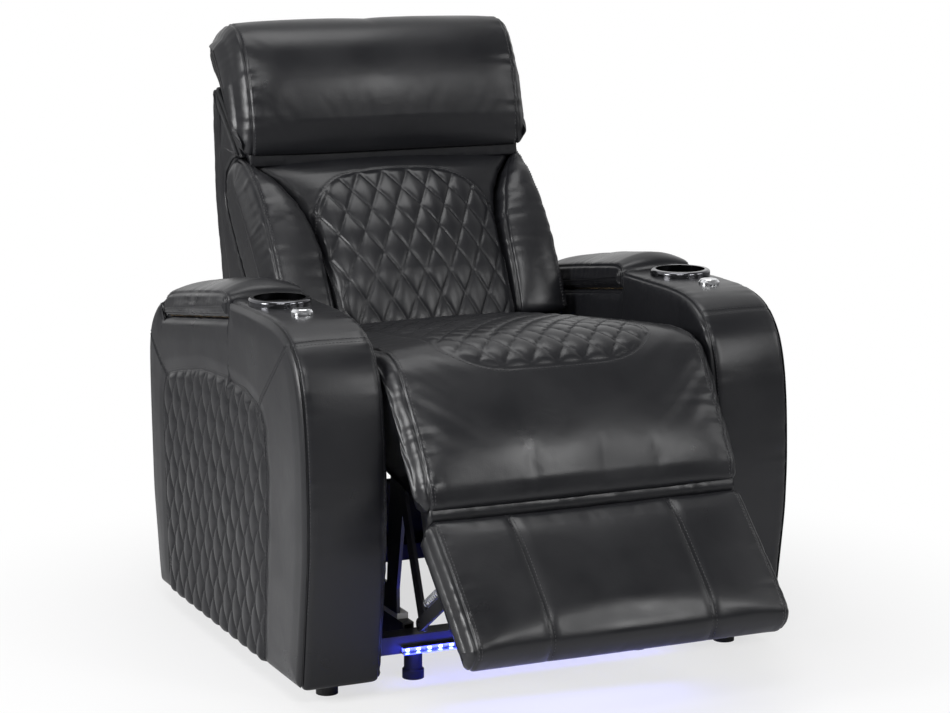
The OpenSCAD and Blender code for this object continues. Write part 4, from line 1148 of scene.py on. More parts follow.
    def relief(self, skin: Skin, section: Section, seed: int) -> Array:
        """Height of the side seams and the puckers that gather along them.

        A seam is a narrow valley. Puckers are noise along it that fades away from it.

        Args:
            skin: Fine skin.
            section: Coarse section, for its marks.
            seed: Seed of the puckers.

        Returns:
            Heights in metres, one for each point of the skin.
        """
        away = np.abs(skin.across)[:, None] - self.seam
        around = skin.around[:-1][None]
        side = np.sign(skin.across)[:, None]
        groove = -self.seam_depth * MM * bell(away, SEAM_WIDTH)
        fold = noise_line(around + side * 1.7, PUCKER_PERIOD, seed)
        varied = PUCKER_SPREAD * noise_line(around + side * 0.9, SPREAD_PERIOD, seed + 1)
        fading = np.exp(-np.abs(away) / ((PUCKER_REACH + varied) * MM))
        gather = self.pucker * MM * fold * fading * ease(np.abs(away), 0, 5 * MM)
        soft = SOFT_RISE * noise_field(skin.across[:, None] + 3, around + 5, SOFT_PERIOD, seed + 2)
        return groove + gather + soft * ease(np.abs(away), 0, 30 * MM)

    def sewn(
        self, seed: int, extra: Optional[Callable[[Skin, Section], Array]] = None,
        firm: bool = False,
    ) -> tuple[Skin, Section]:
        """The finished surface: shape, cloth, then seams and whatever else is sewn.

        Args:
            seed: Seed of this cushion's puckers.
            extra: Works out further heights on the fine skin.
            firm: Whether the form keeps its shape, with no cloth run on it.

        Returns:
            The fine skin and the coarse section.
        """
        section = self.section(self.coarse)
        skin = self.shape(self.stations(self.coarse), section)
        if not (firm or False):
            skin = self.soften(skin, section)
        across, around = self.fine_places(section)
        skin = skin.resampled(across, around)
        height = self.relief(skin, section, seed)
        if extra is not None:
            height = height + extra(skin, section)
        return skin.raised(height), section

    def stitch_sides(
        self, skin: Skin, thread: Thread, span: tuple[float, float], rows: Sequence[float],
        sides: Sequence[int] = (-1, 1),
    ) -> None:
        """Sews rows of stitches beside the side seams.

        Args:
            skin: Finished skin.
            thread: Thread to add to.
            span: First and last place round the section.
            rows: Distance of each row from its seam towards the face, in millimetres.
            sides: Signs of the sides that are sewn.
        """
        around = np.arange(span[0], span[1], SEW_STEP)
        for side in sides:
            for row in rows:
                across = np.full(len(around), side * (self.seam - row * MM))
                thread.sew(skin, across, around)

    def finish(self, skin: Skin, finishes: Finishes) -> bpy.types.Object:
        """Args:
            skin: Finished skin.
            finishes: The seat's finishes.

        Returns:
            The piece.
        """
        piece = skin.build(self.name)
        dress(piece, finishes.leather)
        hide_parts(*self.replaces)
        return piece

    def put_up(self, skin: Skin, thread: Thread, stitches: str, finishes: Finishes) -> None:
        """Builds the cushion and its stitches, which both ride its body.

        Args:
            skin: Finished skin.
            thread: The cushion's stitches.
            stitches: Name of the stitches' piece.
            finishes: The seat's finishes.
        """
        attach(self.finish(skin, finishes), self.body)
        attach(add_thread(thread, stitches, finishes), self.body)


def dress(piece: bpy.types.Object, material: bpy.types.Material) -> None:
    """Gives a leather or thread piece its finish."""
    piece.data.materials.append(material)


def add_thread(thread: Thread, name: str, finishes: Finishes) -> bpy.types.Object:
    """Builds a body's stitches and gives them their finish.

    Args:
        thread: The body's stitches.
        name: Name of their piece.
        finishes: The seat's finishes.

    Returns:
        The piece.
    """
    piece = thread.build(name)
    dress(piece, finishes.thread)
    return piece


@dataclass
class Headrest:
    """The big roll at the top, with a gusset at each end."""

    finishes: Finishes
    hinge: Point = (306, 816)
    tilt: float = 40.3
    corners: Sequence[Mark] = (
        (312, 832, 4), (458, 957, 26), (483, 984, 26), (482, 1006, 26), (466, 1030, 26),
        (438, 1047, 26), (404, 1056, 30), (366, 1053, 46), (336, 1026, 46), (315, 986, 44),
        (301, 946, 44), (292, 906, 44), (287, 868, 36), (286, 836, 18), (294, 817, 8),
    )
    spine: Sequence[Point] = ((325, 868), (352, 940), (400, 1006), (432, 1012))

    def at(self, along: float, up: float) -> Point:
        """A place at rest, along the headrest's board from its hinge and up from it."""
        s, c = math.sin(math.radians(self.tilt)), math.cos(math.radians(self.tilt))
        return self.hinge[0] + along * c - up * s, self.hinge[1] + along * s + up * c

    def build(self) -> None:
        """Makes the roll, its puckers and its stitches."""
        cushion = Cushion(
            name="headrest_roll", body="headrest", replaces=("headrest_pad",), corners=self.corners,
            spine=self.spine, half=SEAT_HALF, edge=24, crown=14, bulge=9,
            crown_marks=((312, 834, 0), (458, 957, 0), (482, 1000, 0), (438, 1047, 0.1),
                         (368, 1056, 0.5), (335, 1000, 0.9), (315, 946, 1), (300, 880, 1),
                         (286, 836, 0.3)),
            hold_marks=((312, 834, 1), (458, 957, 1), (482, 1000, 0.2), (368, 1056, 0),
                        (287, 868, 0.2), (285, 836, 0.9), (293, 815, 1)),
            seam_turn=0.1, pucker=2.2, fill=0.75, cap=12,
        )
        skin, section = cushion.sewn(seed=11)
        thread = Thread()
        span = (section.arc_at(466, 1030), section.arc_at(294, 817))
        cushion.stitch_sides(skin, thread, span, (4.5,))
        cushion.put_up(skin, thread, "headrest_stitches", self.finishes)


@dataclass
class Seat:
    """The seat, its rolled nose and the flap below it, under one cover."""

    finishes: Finishes
    nose: Point = (-356, 482)
    nose_r: float = 87
    flap_tilt: float = 34
    tongue_half: float = 192
    tongue_power: float = 4.5
    tongue_rear: Point = (55, 524)
    tongue_corner: Point = (-385, 567)
    tongue_turn: float = 150
    line_depth: float = 1.8 * MM
    line_width: float = 1.8 * MM
    fold_rise: float = 1.5 * MM
    fold_period: float = 26 * MM
    row_off: float = 4
    bend: Point = (4, 72)
    quilt: Quilt = field(
        default_factory=lambda: Quilt(width=48 * MM, height=62 * MM, rise=3.4 * MM)
    )

    def flap(self, down: float, out: float) -> Point:
        """A place on the flap, down from the nose's centre and outward from it."""
        s, c = math.sin(math.radians(self.flap_tilt)), math.cos(math.radians(self.flap_tilt))
        return self.nose[0] - down * s - out * c, self.nose[1] - down * c + out * s

    def on_nose(self, angle: float, radius: float) -> Point:
        """A place round the nose's centre, by its angle from straight back."""
        a = math.radians(angle)
        return self.nose[0] + radius * math.cos(a), self.nose[1] + radius * math.sin(a)

    def corners(self) -> list[Mark]:
        """The cover's section, from its rear foot forward over the nose and round the flap.

        Returns:
            Y, Z and rounding length of each corner, in millimetres.
        """
        top = [(146, 427, 8), (148, 470, 30), (147, 512, 16), (104, 519, 30), (10, 527, 60),
               (-100, 544, 70), (-230, 562, 60)]
        arc = [(*self.on_nose(a, self.nose_r + lift), 14) for a, lift in
               ((90, 0), (103, 1), (116, 3), (129, 5), (141, 6.4))]
        face = [(*self.flap(d, o), r) for d, o, r in
                ((16, 94.6, 20), (50, 97, 30), (100, 99, 40), (150, 99, 40), (194, 96, 26),
                 (220, 87, 14), (224, 72, 10), (218, 54, 10), (206, 39.4, 6), (84, 39.4, 6),
                 (68, 53, 10), (24, 54, 12))]
        hollow = [(*self.on_nose(a, 53), 12) for a in (170, 145, 120, 90, 60, 30, 5)]
        return top + arc + face + hollow + [(-303, 427, 4)]

    def spine(self) -> list[Point]:
        """The line that the side panels close on.

        Returns:
            Y and Z of each point, in millimetres.
        """
        round_nose = [self.on_nose(a, 70) for a in (80, 100, 120, 140, 160)]
        down_flap = [self.flap(30, 76), self.flap(100, 70), self.flap(192, 68)]
        return [(112, 470), (-180, 500), (-290, 530)] + round_nose + down_flap

    def tongue_marks(self, section: Section) -> tuple[float, float, float]:
        """Places round the section of the tongue's rear end, its corners and its front end."""
        rear, corner = section.arc_at(*self.tongue_rear), section.arc_at(*self.tongue_corner)
        return rear, corner, section.arc_at(*self.on_nose(self.tongue_turn, self.nose_r))

    def build(self) -> None:
        """Makes the cover with its quilted tongue and its stitches."""
        face_top, face_low = self.flap(50, 97), self.flap(190, 95)
        cushion = Cushion(
            name="seat_cover", body="carriage", replaces=("seat_cushion", "flap_pad"),
            corners=self.corners(), spine=self.spine(), half=SEAT_HALF, edge=20, crown=10,
            crown_marks=((146, 427, 0), (147, 512, 0.2), (104, 519, 0.5), (10, 527, 1),
                         (-356, 569, 1), (*face_top, 0.8), (*face_low, 0.8),
                         (*self.flap(219, 74), 0), (-303, 427, 0)),
            hold_marks=((146, 427, 1), (148, 470, 0.3), (147, 512, 0.2), (10, 527, 0),
                        (-356, 569, 0), (*face_low, 0), (*self.flap(219, 74), 0.6),
                        (*self.flap(206, 39.4), 1), (*self.on_nose(90, 53), 1), (-303, 427, 1)),
            coarse=9.0, fine=3.6, seam_turn=0.25, pucker=1.8, fill=0.65, cap=14, wrinkle=0.17,
        )

        def sewing(skin: Skin, section: Section) -> Array:
            """Heights of the tongue's diamonds, its border and the soft folds at the nose.

            Args:
                skin: Fine skin.
                section: The cushion's section.

            Returns:
                Heights in metres, one for each point of the skin.
            """
            x, s = skin.across[:, None], skin.around[:-1][None]
            rear, corner, front = self.tongue_marks(section)
            half = self.tongue_half * MM
            bow = (front - corner) * (1 - np.abs(x / half) ** self.tongue_power)
            ends = np.minimum(corner + np.clip(bow, -0.2, 1) - s, s - rear)
            inside = np.minimum(ends, half - np.abs(x))
            quilt = self.quilt.relief(x, s - rear, inside)
            line = -self.line_depth * bell(inside, self.line_width)
            slant = noise_line((s - corner) + np.abs(x) * 0.9, self.fold_period, 31)
            near_side = ease(np.abs(x), 0.12, 0.25) * ease(s, corner - 0.02, corner + 0.06)
            below = 1 - ease(s, corner + 0.16, corner + 0.26)
            folds = self.fold_rise * slant * near_side * below
            return quilt + line * (inside > -8 * MM) + folds * (inside < 0)

        skin, section = cushion.sewn(seed=21, extra=sewing)
        thread = Thread()
        lip = section.arc_at(*self.flap(214, 87))
        cushion.stitch_sides(skin, thread, (section.arc_at(104, 519), lip), (4.0, 8.5))
        self.sew_border(skin, section, thread)
        piece = cushion.finish(skin, self.finishes)
        stitches = add_thread(thread, "seat_cover_stitches", self.finishes)
        for part in (piece, stitches):
            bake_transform(part)

    def sew_border(self, skin: Skin, section: Section, thread: Thread) -> None:
        """Sews the row just outside the tongue's border, along its front and sides.

        Args:
            skin: Finished skin.
            section: The cushion's section.
            thread: Thread to add to.
        """
        rear, corner, front = self.tongue_marks(section)
        half = (self.tongue_half + self.row_off) * MM
        x = np.linspace(-half, half, 180)
        bow = (front - corner) * (1 - np.abs(x / half) ** self.tongue_power)
        thread.sew(skin, x, corner + self.row_off * MM + bow)
        s = np.arange(rear, corner, SEW_STEP)
        for side in (-1, 1):
            thread.sew(skin, np.full(len(s), side * half), s)


@dataclass
class Footrest:
    """The footrest pad, with two double seams along it."""

    finishes: Finishes
    knee: Point = (-540.7, 328.0)
    tilt: float = 47.8
    far: float = 260
    channel: float = 143
    row_off: float = 4
    valley: float = 2.6 * MM
    valley_width: float = 9 * MM
    crease: float = 2.0 * MM
    crease_width: float = 1.8 * MM
    fade: float = 0.02

    def at(self, down: float, up: float) -> Point:
        """A place on the footrest, down from its hinge and up from it."""
        s, c = math.sin(math.radians(self.tilt)), math.cos(math.radians(self.tilt))
        return self.knee[0] - down * s - up * c, self.knee[1] - down * c + up * s

    def placed(self, rows: Sequence[Mark]) -> list[Mark]:
        """Rows of a place down and up the footrest and a value, brought into the drawing."""
        return [(*self.at(down, up), value) for down, up, value in rows]

    def build(self) -> None:
        """Makes the pad with its channels and stitches."""
        rows = ((16, -49.7, 5), (self.far - 10, -49.7, 8), (self.far - 1, -42, 12),
                (self.far + 1, -26, 14), (self.far, -6, 16), (self.far - 10, 8, 18),
                (200, 12.5, 40), (110, 13, 50), (40, 13, 30), (16, 12, 10), (8, 5, 8), (6, -7, 8),
                (9, -24, 10), (12, -44, 6))
        marks = ((16, -49.7, 0), (self.far - 10, -49.7, 0), (self.far, -10, 0.4),
                 (200, 12.5, 0.9), (110, 13, 1), (40, 12, 0.8), (11, -15, 0.0))
        holds = ((16, -49.7, 1), (self.far - 10, -49.7, 1), (self.far, -10, 0), (110, 13, 0),
                 (12, 1, 0.2), (11, -20, 1))
        cushion = Cushion(
            name="footrest_cover", body="footrest", replaces=("footrest_pad",),
            corners=self.placed(rows[::-1]),
            spine=[self.at(34, -19), self.at(self.far - 26, -19)], half=SEAT_HALF, edge=18, crown=6,
            crown_marks=self.placed(marks), hold_marks=self.placed(holds), seam_turn=0.25,
            pucker=1.0, fill=0.6, cap=6, fine=4.0,
        )

        def sewing(skin: Skin, section: Section) -> Array:
            """Two lengthwise valleys, each pulled down between a pair of stitch rows.

            Args:
                skin: Fine skin.
                section: The cushion's section.

            Returns:
                Heights in metres, one for each point of the skin.
            """
            away = np.abs(np.abs(skin.across[:, None]) - self.channel * MM)
            low = section.arc_at(*self.at(12, 1))
            high = section.arc_at(*self.at(self.far + 1, -26))
            s = skin.around[:-1][None]
            top = ease(s, low, low + self.fade) * (1 - ease(s, high, high + self.fade))
            wide = self.valley * bell(away, self.valley_width)
            return -top * (wide + self.crease * bell(away, self.crease_width))

        skin, section = cushion.sewn(seed=41, extra=sewing)
        thread = Thread()
        span = (section.arc_at(*self.at(14, 4)), section.arc_at(*self.at(self.far, -8)))
        cushion.stitch_sides(skin, thread, span, (4.0, 8.5))
        around = np.arange(span[0], span[1] + self.fade, SEW_STEP)
        for side in (-1, 1):
            for off in (-self.row_off, self.row_off):
                across = np.full(len(around), (side * self.channel + off) * MM)
                thread.sew(skin, across, around)
        cushion.put_up(skin, thread, "footrest_stitches", self.finishes)


@dataclass
class Back:
    """The back: a middle cushion with a quilted arch, two wings and the shell behind."""

    finishes: Finishes
    quilt: Quilt = field(default_factory=lambda: Quilt(rise=4.6 * MM))
    arch_half: float = 166
    arch_swell: float = 15
    arch_top: float = 773
    arch_fall: float = 0.27
    arch_power: float = 4.3
    arch_foot: Point = (88, 526)
    arch_peak_y: float = 282
    line_depth: float = 2.0 * MM
    line_width: float = 1.8 * MM
    row_off: float = 3.5
    centre_line: Sequence[Point] = ((524, 175), (660, 179), (705, 185), (745, 202), (776, 225),
                                    (806, 262))

    def centre_half(self, z: Array) -> Array:
        """Half width of the middle cushion at a height, all in metres."""
        line = np.array(self.centre_line, float) * MM
        return np.interp(z, line[:, 0], line[:, 1])

    def arch_width(self, up: Array) -> Array:
        """Half width of the quilted arch, at a distance up from the cushion's foot."""
        return (self.arch_half + self.arch_swell * ease(up, 0.04, 0.2)) * MM

    def arch_marks(self, section: Section) -> Point:
        """The arch's foot on the section, and its height along the section, in metres."""
        foot = section.arc_at(*self.arch_foot)
        return foot, foot - section.arc_at(self.arch_peak_y, self.arch_top)

    def arch_drop(self, x: Array, half: Array, height: float) -> Array:
        """How far the arch's top edge lies below its peak, which is at a given height."""
        return self.arch_fall * height * np.clip(np.abs(x) / half, 0, 1.2) ** self.arch_power

    def build_centre(self) -> None:
        """Makes the middle cushion, with its arch of diamonds."""
        corners = ((120, 524, 20), (158, 524, 4), (350, 796, 6), (372, 818, 10), (330, 822, 12),
                   (304, 800, 20), (278, 777, 34), (246, 745, 50), (208, 705, 60), (170, 660, 60),
                   (136, 610, 60), (106, 560, 44), (88, 526, 20), (96, 514, 8))
        cushion = Cushion(
            name="back_centre_cover", body="back", replaces=("back_centre_cushion",),
            corners=corners, spine=((140, 545), (215, 660), (318, 790)), half=230, edge=12,
            crown=24,
            crown_marks=((120, 524, 0), (158, 524, 0), (350, 796, 0), (330, 822, 0),
                         (304, 800, 0.4), (278, 777, 0.9), (208, 705, 1), (136, 610, 1),
                         (88, 526, 0.6), (96, 514, 0)),
            hold_marks=((120, 524, 1), (158, 524, 1), (350, 796, 1), (330, 822, 0.5), (278, 777, 0),
                        (136, 610, 0), (88, 526, 0.3)),
            coarse=8.0, fine=3.0, seam_turn=0.9, pucker=0.8, fill=0.7, cap=8, bulge=0,
            width_of=lambda y, z: (np.zeros(len(z)), self.centre_half(z)),
        )

        def sewing(skin: Skin, section: Section) -> Array:
            """Heights of the arch's diamonds and of the line sewn round it.

            Args:
                skin: Fine skin.
                section: The cushion's section.

            Returns:
                Heights in metres, one for each point of the skin.
            """
            s = skin.around[:-1][None]
            foot, height = self.arch_marks(section)
            x = skin.points[..., 0]
            up = foot - s
            half = self.arch_width(up)
            fall = self.arch_drop(x, half, height)
            inside = np.minimum(height - fall - up, half - np.abs(x))
            line = -self.line_depth * bell(inside, self.line_width) * (up > 0)
            return self.quilt.relief(x, up, np.where(up > -0.02, inside, -1.0)) + line

        skin, section = cushion.sewn(seed=51, extra=sewing)
        thread = Thread()
        self.sew_arch(cushion, skin, section, thread)
        cushion.put_up(skin, thread, "back_centre_stitches", self.finishes)

    def sew_arch(self, cushion: Cushion, skin: Skin, section: Section, thread: Thread) -> None:
        """Sews the row just outside the quilted arch, over its top and down its sides.

        Args:
            cushion: The middle cushion.
            skin: Its finished skin.
            section: Its section.
            thread: Thread to add to.
        """
        foot, height = self.arch_marks(section)
        face, off = cushion.path_marks()[0], self.row_off * MM

        def sew(x: Array, up: Array) -> None:
            """Sews through places given across the seat and up from the cushion's foot.

            Args:
                x: Places across the seat.
                up: Places up from the cushion's foot.
            """
            ring = skin.points[len(skin.across) // 2, :, 2]
            z = np.interp(foot - up, skin.around[:-1], ring)
            thread.sew(skin, x / (self.centre_half(z) - cushion.edge * MM) * face, foot - up)

        half = (self.arch_half + self.arch_swell + self.row_off) * MM
        x = np.linspace(-half, half, 260)
        sew(x, height + off - self.arch_drop(x, half, height))
        up = np.arange(0.015, height * (1 - self.arch_fall), SEW_STEP)
        for hand in (-1, 1):
            sew(hand * (self.arch_width(up) + off), up)

    def build_wing(self, side: Side) -> None:
        """Makes one wing, from the middle cushion out to the seat's side.

        Args:
            side: The wing's side.
        """
        corners = ((104, 524, 10), (232, 524, 10), (240, 534, 20), (318, 625, 30), (360, 678, 30),
                   (396, 729, 26), (397, 776, 26), (358, 806, 20), (322, 806, 16), (290, 790, 30),
                   (248, 764, 40), (203, 722, 50), (157, 661, 60), (118, 590, 50), (92, 534, 24))
        outer = SEAT_HALF * MM

        def width_of(y: Array, z: Array) -> tuple[Array, Array]:
            """Middle and half width of the wing at each point of its section."""
            inner = self.centre_half(z) + 0.5 * MM
            return side.value * (inner + outer) / 2, (outer - inner) / 2

        cushion = Cushion(
            name=f"{side.word}_wing_cover", body="back", replaces=(f"{side.word}_wing_bolster",),
            corners=corners, spine=((160, 560), (240, 670), (330, 760)), half=54, edge=17, crown=16,
            crown_marks=((104, 524, 0), (232, 524, 0), (318, 625, 0), (397, 760, 0),
                         (330, 806, 0.4), (248, 764, 1), (157, 661, 1), (92, 534, 0.5)),
            hold_marks=((104, 524, 1), (232, 524, 1), (318, 625, 1), (397, 750, 1), (358, 806, 0.4),
                        (248, 764, 0), (92, 534, 0.2)),
            coarse=8.0, fine=4.0, seam_turn=0.35, pucker=1.6, fill=0.7, cap=7, bulge=1,
            width_of=width_of,
        )
        skin, section = cushion.sewn(seed=61 + side.value)
        thread = Thread()
        span = (section.arc_at(322, 806), section.arc_at(92, 534))
        cushion.stitch_sides(skin, thread, span, (4.0, 8.0), (side.value,))
        cushion.put_up(skin, thread, f"{side.word}_wing_stitches", self.finishes)

    def build_shell(self) -> None:
        """Makes the leather over the back's shell, drawn in along its edges."""
        corners = ((330, 300, 6), (390, 300, 10), (425, 530, 60), (443, 619, 60), (462, 702, 60),
                   (469, 777, 60), (467, 853, 60), (463, 916, 20), (460, 938, 8), (318, 817, 6),
                   (358, 806, 8), (396, 777, 10), (398, 729, 20), (362, 678, 20), (318, 623, 20),
                   (238, 532, 20), (286, 402, 20))
        cushion = Cushion(
            name="back_shell_cover", body="back", replaces=("back_shell",), corners=corners,
            spine=((358, 330), (345, 480), (400, 640), (430, 780), (420, 880)), half=284, edge=12,
            crown=0, coarse=12.0, fine=6.0, seam_turn=0.4, pucker=0.7, fill=0.5, bulge=1.5, cap=5,
            hold_marks=((330, 300, 1), (390, 300, 0.6), (443, 619, 0.2), (469, 777, 0.2),
                        (450, 937, 0.6), (358, 806, 1), (318, 623, 1), (286, 402, 1)),
        )
        skin, section = cushion.sewn(seed=71)
        thread = Thread()
        span = (section.arc_at(390, 320), section.arc_at(462, 918))
        cushion.stitch_sides(skin, thread, span, (4.5,))
        cushion.put_up(skin, thread, "back_shell_stitches", self.finishes)


@dataclass
class Arm:
    """One arm: the leather box, its quilted outer side and its lid."""

    finishes: Finishes
    side: Side
    inner: float = 300
    outer: float = 450
    front_y: float = -443
    depth: float = 821
    foot: float = 27
    top: float = 624
    edge: float = 16
    lid_front: float = -77
    lid_rear: float = 273
    lid_wall: float = 286.3
    board: float = 6.3
    seam_mark: Point = (-372, 598)
    front_groove: float = 1.7 * MM
    seam_width: float = 2.2 * MM
    row_off: float = 3.6
    side_inset: float = 4.2
    puff: float = 2.4 * MM
    seam_groove: float = 2.0 * MM
    slant_width: float = 1.8 * MM
    side_rows: int = 190
    end_length: float = 0.045
    end_columns: int = 22
    rim: float = 7
    quilt: Quilt = field(default_factory=lambda: Quilt(rise=6.4 * MM, groove=2.2 * MM))
    front_shares: Sequence[Point] = (
        (0.046, 0), (0.021, 0.223), (0.004, 0.374), (0, 0.508), (0.003, 0.620), (0.008, 0.710),
        (0.019, 0.800), (0.038, 0.876), (0.062, 0.923), (0.091, 0.958), (0.128, 0.982),
        (0.174, 0.995), (0.235, 1),
    )
    rear_shares: Sequence[Point] = (
        (0.889, 0.910), (0.925, 0.893), (0.961, 0.854), (0.985, 0.810), (0.997, 0.750), (1, 0.685),
        (0.998, 0.55), (0.989, 0.293), (0.951, 0.025), (0.943, 0),
    )
    arch_shares: Sequence[Point] = (
        (0.247, 0), (0.232, 0.2), (0.217, 0.40), (0.215, 0.56), (0.226, 0.68), (0.244, 0.722),
        (0.272, 0.742), (0.34, 0.764), (0.46, 0.771), (0.62, 0.759), (0.79, 0.714),
        (0.86, 0.690), (0.882, 0.62), (0.884, 0.5), (0.880, 0.28), (0.868, 0.1), (0.858, 0),
    )

    def from_shares(self, shares: Sequence[Point]) -> list[Point]:
        """Places given as shares of the arm's depth and rise, in millimetres."""
        rise = self.top - self.foot
        return [(self.front_y + a * self.depth, self.foot + b * rise) for a, b in shares]

    def lid_seat(self, y: float) -> float:
        """Height of the slope under the lid."""
        return self.top - 26 - (y - self.lid_front) * 0.146

    def corners(self) -> list[Mark]:
        """The arm's outline, counter-clockwise seen from +X.

        Returns:
            Y, Z and rounding length of each corner, in millimetres.
        """
        front = [(y, z, 26) for y, z in self.from_shares(self.front_shares)]
        rear = [(y, z, 26) for y, z in self.from_shares(self.rear_shares)]
        for line, end in ((front, 0), (rear, -1), (rear, 0)):
            line[end] = (*line[end][:2], 5)
        step = [(self.lid_front - 0.5, self.top, 7),
                (self.lid_front, self.lid_seat(self.lid_front) - self.board, 3),
                (self.lid_wall, self.lid_seat(self.lid_wall) - self.board, 2)]
        return (front + step + rear)[::-1]

    def box_middle(self) -> float:
        """Middle of the arm along X, in millimetres, with its side's sign."""
        return self.side.value * (self.inner + self.outer) / 2

    def build_box(self) -> None:
        """Makes the leather round the arm, with its cup hole and the well's mouth open."""
        cushion = Cushion(
            name=f"{self.side.word}_arm_cover", body="frame",
            replaces=(f"{self.side.word}_arm_body",), corners=self.corners(),
            spine=((-330, 120), (-300, 480), (200, 440), (250, 130)),
            half=(self.outer - self.inner) / 2 - 3, middle=self.box_middle() - self.side.value * 3,
            edge=self.edge, crown=2.5, bulge=0, coarse=8.0, fine=4.2, seam_turn=0.5, seam_depth=2.2,
            pucker=1.0, fill=0.45,
            crown_marks=((-430, 27, 0), (-443, 330, 1), (-400, 560, 1), (-300, 622, 0.6),
                         (-77, 624, 0), (-70, 592, 0), (286, 540, 0), (300, 570, 0.2),
                         (378, 436, 1), (330, 27, 0)),
        )

        def sewing(skin: Skin, section: Section) -> Array:
            """The seam across the arm's front, as a narrow valley.

            Args:
                skin: Fine skin.
                section: The cushion's section.

            Returns:
                Heights in metres, one for each point of the skin.
            """
            away = skin.around[:-1][None] - section.arc_at(*self.seam_mark)
            on_face = np.abs(skin.across)[:, None] < cushion.seam
            return -self.front_groove * bell(away, self.seam_width) * on_face

        skin, section = cushion.sewn(81 + self.side.value, sewing, firm=True)
        thread = Thread()
        ends = (section.arc_at(*self.from_shares(self.front_shares)[1]),
                section.arc_at(self.lid_front - 8, self.top))
        cushion.stitch_sides(skin, thread, (min(ends), max(ends)), (4.0,))
        across = np.linspace(-cushion.seam + 0.006, cushion.seam - 0.006, 80)
        for off in (-4, 4):
            around = np.full(len(across), section.arc_at(*self.seam_mark) + off * MM)
            thread.sew(skin, across, around)
        piece = cushion.finish(skin, self.finishes)
        self.open_top(piece)
        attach(piece, "frame")
        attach(add_thread(thread, f"{self.side.word}_arm_stitches", self.finishes), "frame")

    def open_top(self, piece: bpy.types.Object) -> None:
        """Takes out the faces over the cup holder and over the storage well.

        Args:
            piece: The leather round the arm.
        """
        cup_low, cup_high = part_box(f"{self.side.word}_cup_liner")
        tub_low, tub_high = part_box(f"{self.side.word}_storage_tub")
        cup = (cup_low + cup_high) / 2
        count = len(piece.data.polygons)
        centres = np.zeros(count * 3, np.float32)
        piece.data.polygons.foreach_get("center", centres)
        centres = centres.reshape(-1, 3)
        above = centres[:, 2] > (self.lid_seat(self.lid_wall) - 20) * MM
        x, y = centres[:, 0], centres[:, 1]
        in_cup = np.hypot(x - cup.x, y - cup.y) < (cup_high.x - cup_low.x) / 2 + 2 * MM
        in_tub = ((x > tub_low.x - MM) & (x < tub_high.x + MM)
                  & (y > tub_low.y - MM) & (y < tub_high.y + MM))
        remove_faces(piece, above & (in_cup | in_tub))

    def build_side(self) -> None:
        """Makes the outer side: a plain surround with its seams, and the quilted arch.

        The side is a grid of columns. Each column runs from the outline's lower edge to
        its upper one, and the height of a point depends on its distance from the outline,
        from the arch and from the seams.
        """
        outline = Section.rounded(self.corners(), 3 * MM)
        inset = outline.points - outline.normals * 0.29 * self.edge * MM
        count = len(inset)
        low, high = inset[:, 0].argmin(), inset[:, 0].argmax()
        lower = inset[np.arange(low, low + (high - low) % count + 1) % count]
        upper = inset[np.arange(high, high + (low - high) % count + 1) % count][::-1]
        start, end = inset[low, 0], inset[high, 0]
        turn = (1 - np.cos(np.linspace(0, math.pi / 2, self.end_columns))) * self.end_length
        between = np.arange(start + self.end_length, end - self.end_length, 3 * MM)
        y = np.unique(np.concatenate([start + turn, between, end - turn]))
        top = np.interp(y, upper[:, 0], upper[:, 1])
        foot = np.interp(y, lower[:, 0], lower[:, 1])
        share = np.linspace(0, 1, self.side_rows)
        z = foot[:, None] + share[None] * (top - foot)[:, None]
        yy = np.broadcast_to(y[:, None], z.shape)
        x = self.side_height(yy, z, outline)
        points = np.stack([self.side.value * x, yy, z], axis=2)
        quads = grid_quads(len(y), len(share), False)
        if self.side is Side.LEFT:
            quads = quads[:, ::-1]
        word = self.side.word
        piece = mesh_object(f"{word}_arm_quilted_side", points.reshape(-1, 3), quads)
        dress(piece, self.finishes.leather)
        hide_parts(f"{word}_arm_quilt")
        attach(piece, "frame")
        thread = self.sew_side(outline)
        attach(add_thread(thread, f"{word}_arm_side_stitches", self.finishes), "frame")

    def sew_side(self, outline: Section) -> Thread:
        """Sews a row on each side of the side's seams.

        Args:
            outline: The arm's outline.

        Returns:
            The rows of stitches.
        """
        thread = Thread()
        rim = closed_loop(outline.points - outline.normals * self.rim * MM)
        for path in self.seam_paths():
            run = run_along(path)
            where = np.arange(0, run[-1], SEW_STEP)
            line = np.stack([np.interp(where, run, path[:, k]) for k in (0, 1)], axis=1)
            along = unit(np.gradient(line, axis=0))
            across = np.stack([along[:, 1], -along[:, 0]], axis=1)
            for off in (-self.row_off, self.row_off):
                spots = line + across * off * MM
                spots = spots[signed_inside(rim, spots) > 0]
                x = self.side_height(spots[:, :1], spots[:, 1:], outline)
                out = np.tile([float(self.side.value), 0.0, 0.0], (len(spots), 1))
                thread.lay(np.concatenate([self.side.value * x, spots], axis=1), out)
        return thread

    def seam_paths(self) -> list[Array]:
        """The side's sewn lines: the arch, and the two slanting seams that meet it.

        Returns:
            Points of each line in metres.
        """
        arch = self.from_shares(self.arch_shares)
        slants = ((269, 438), (373, 508)), ((-233, 471), (-380, 606))
        return [in_frame(line) for line in (arch, *slants)]

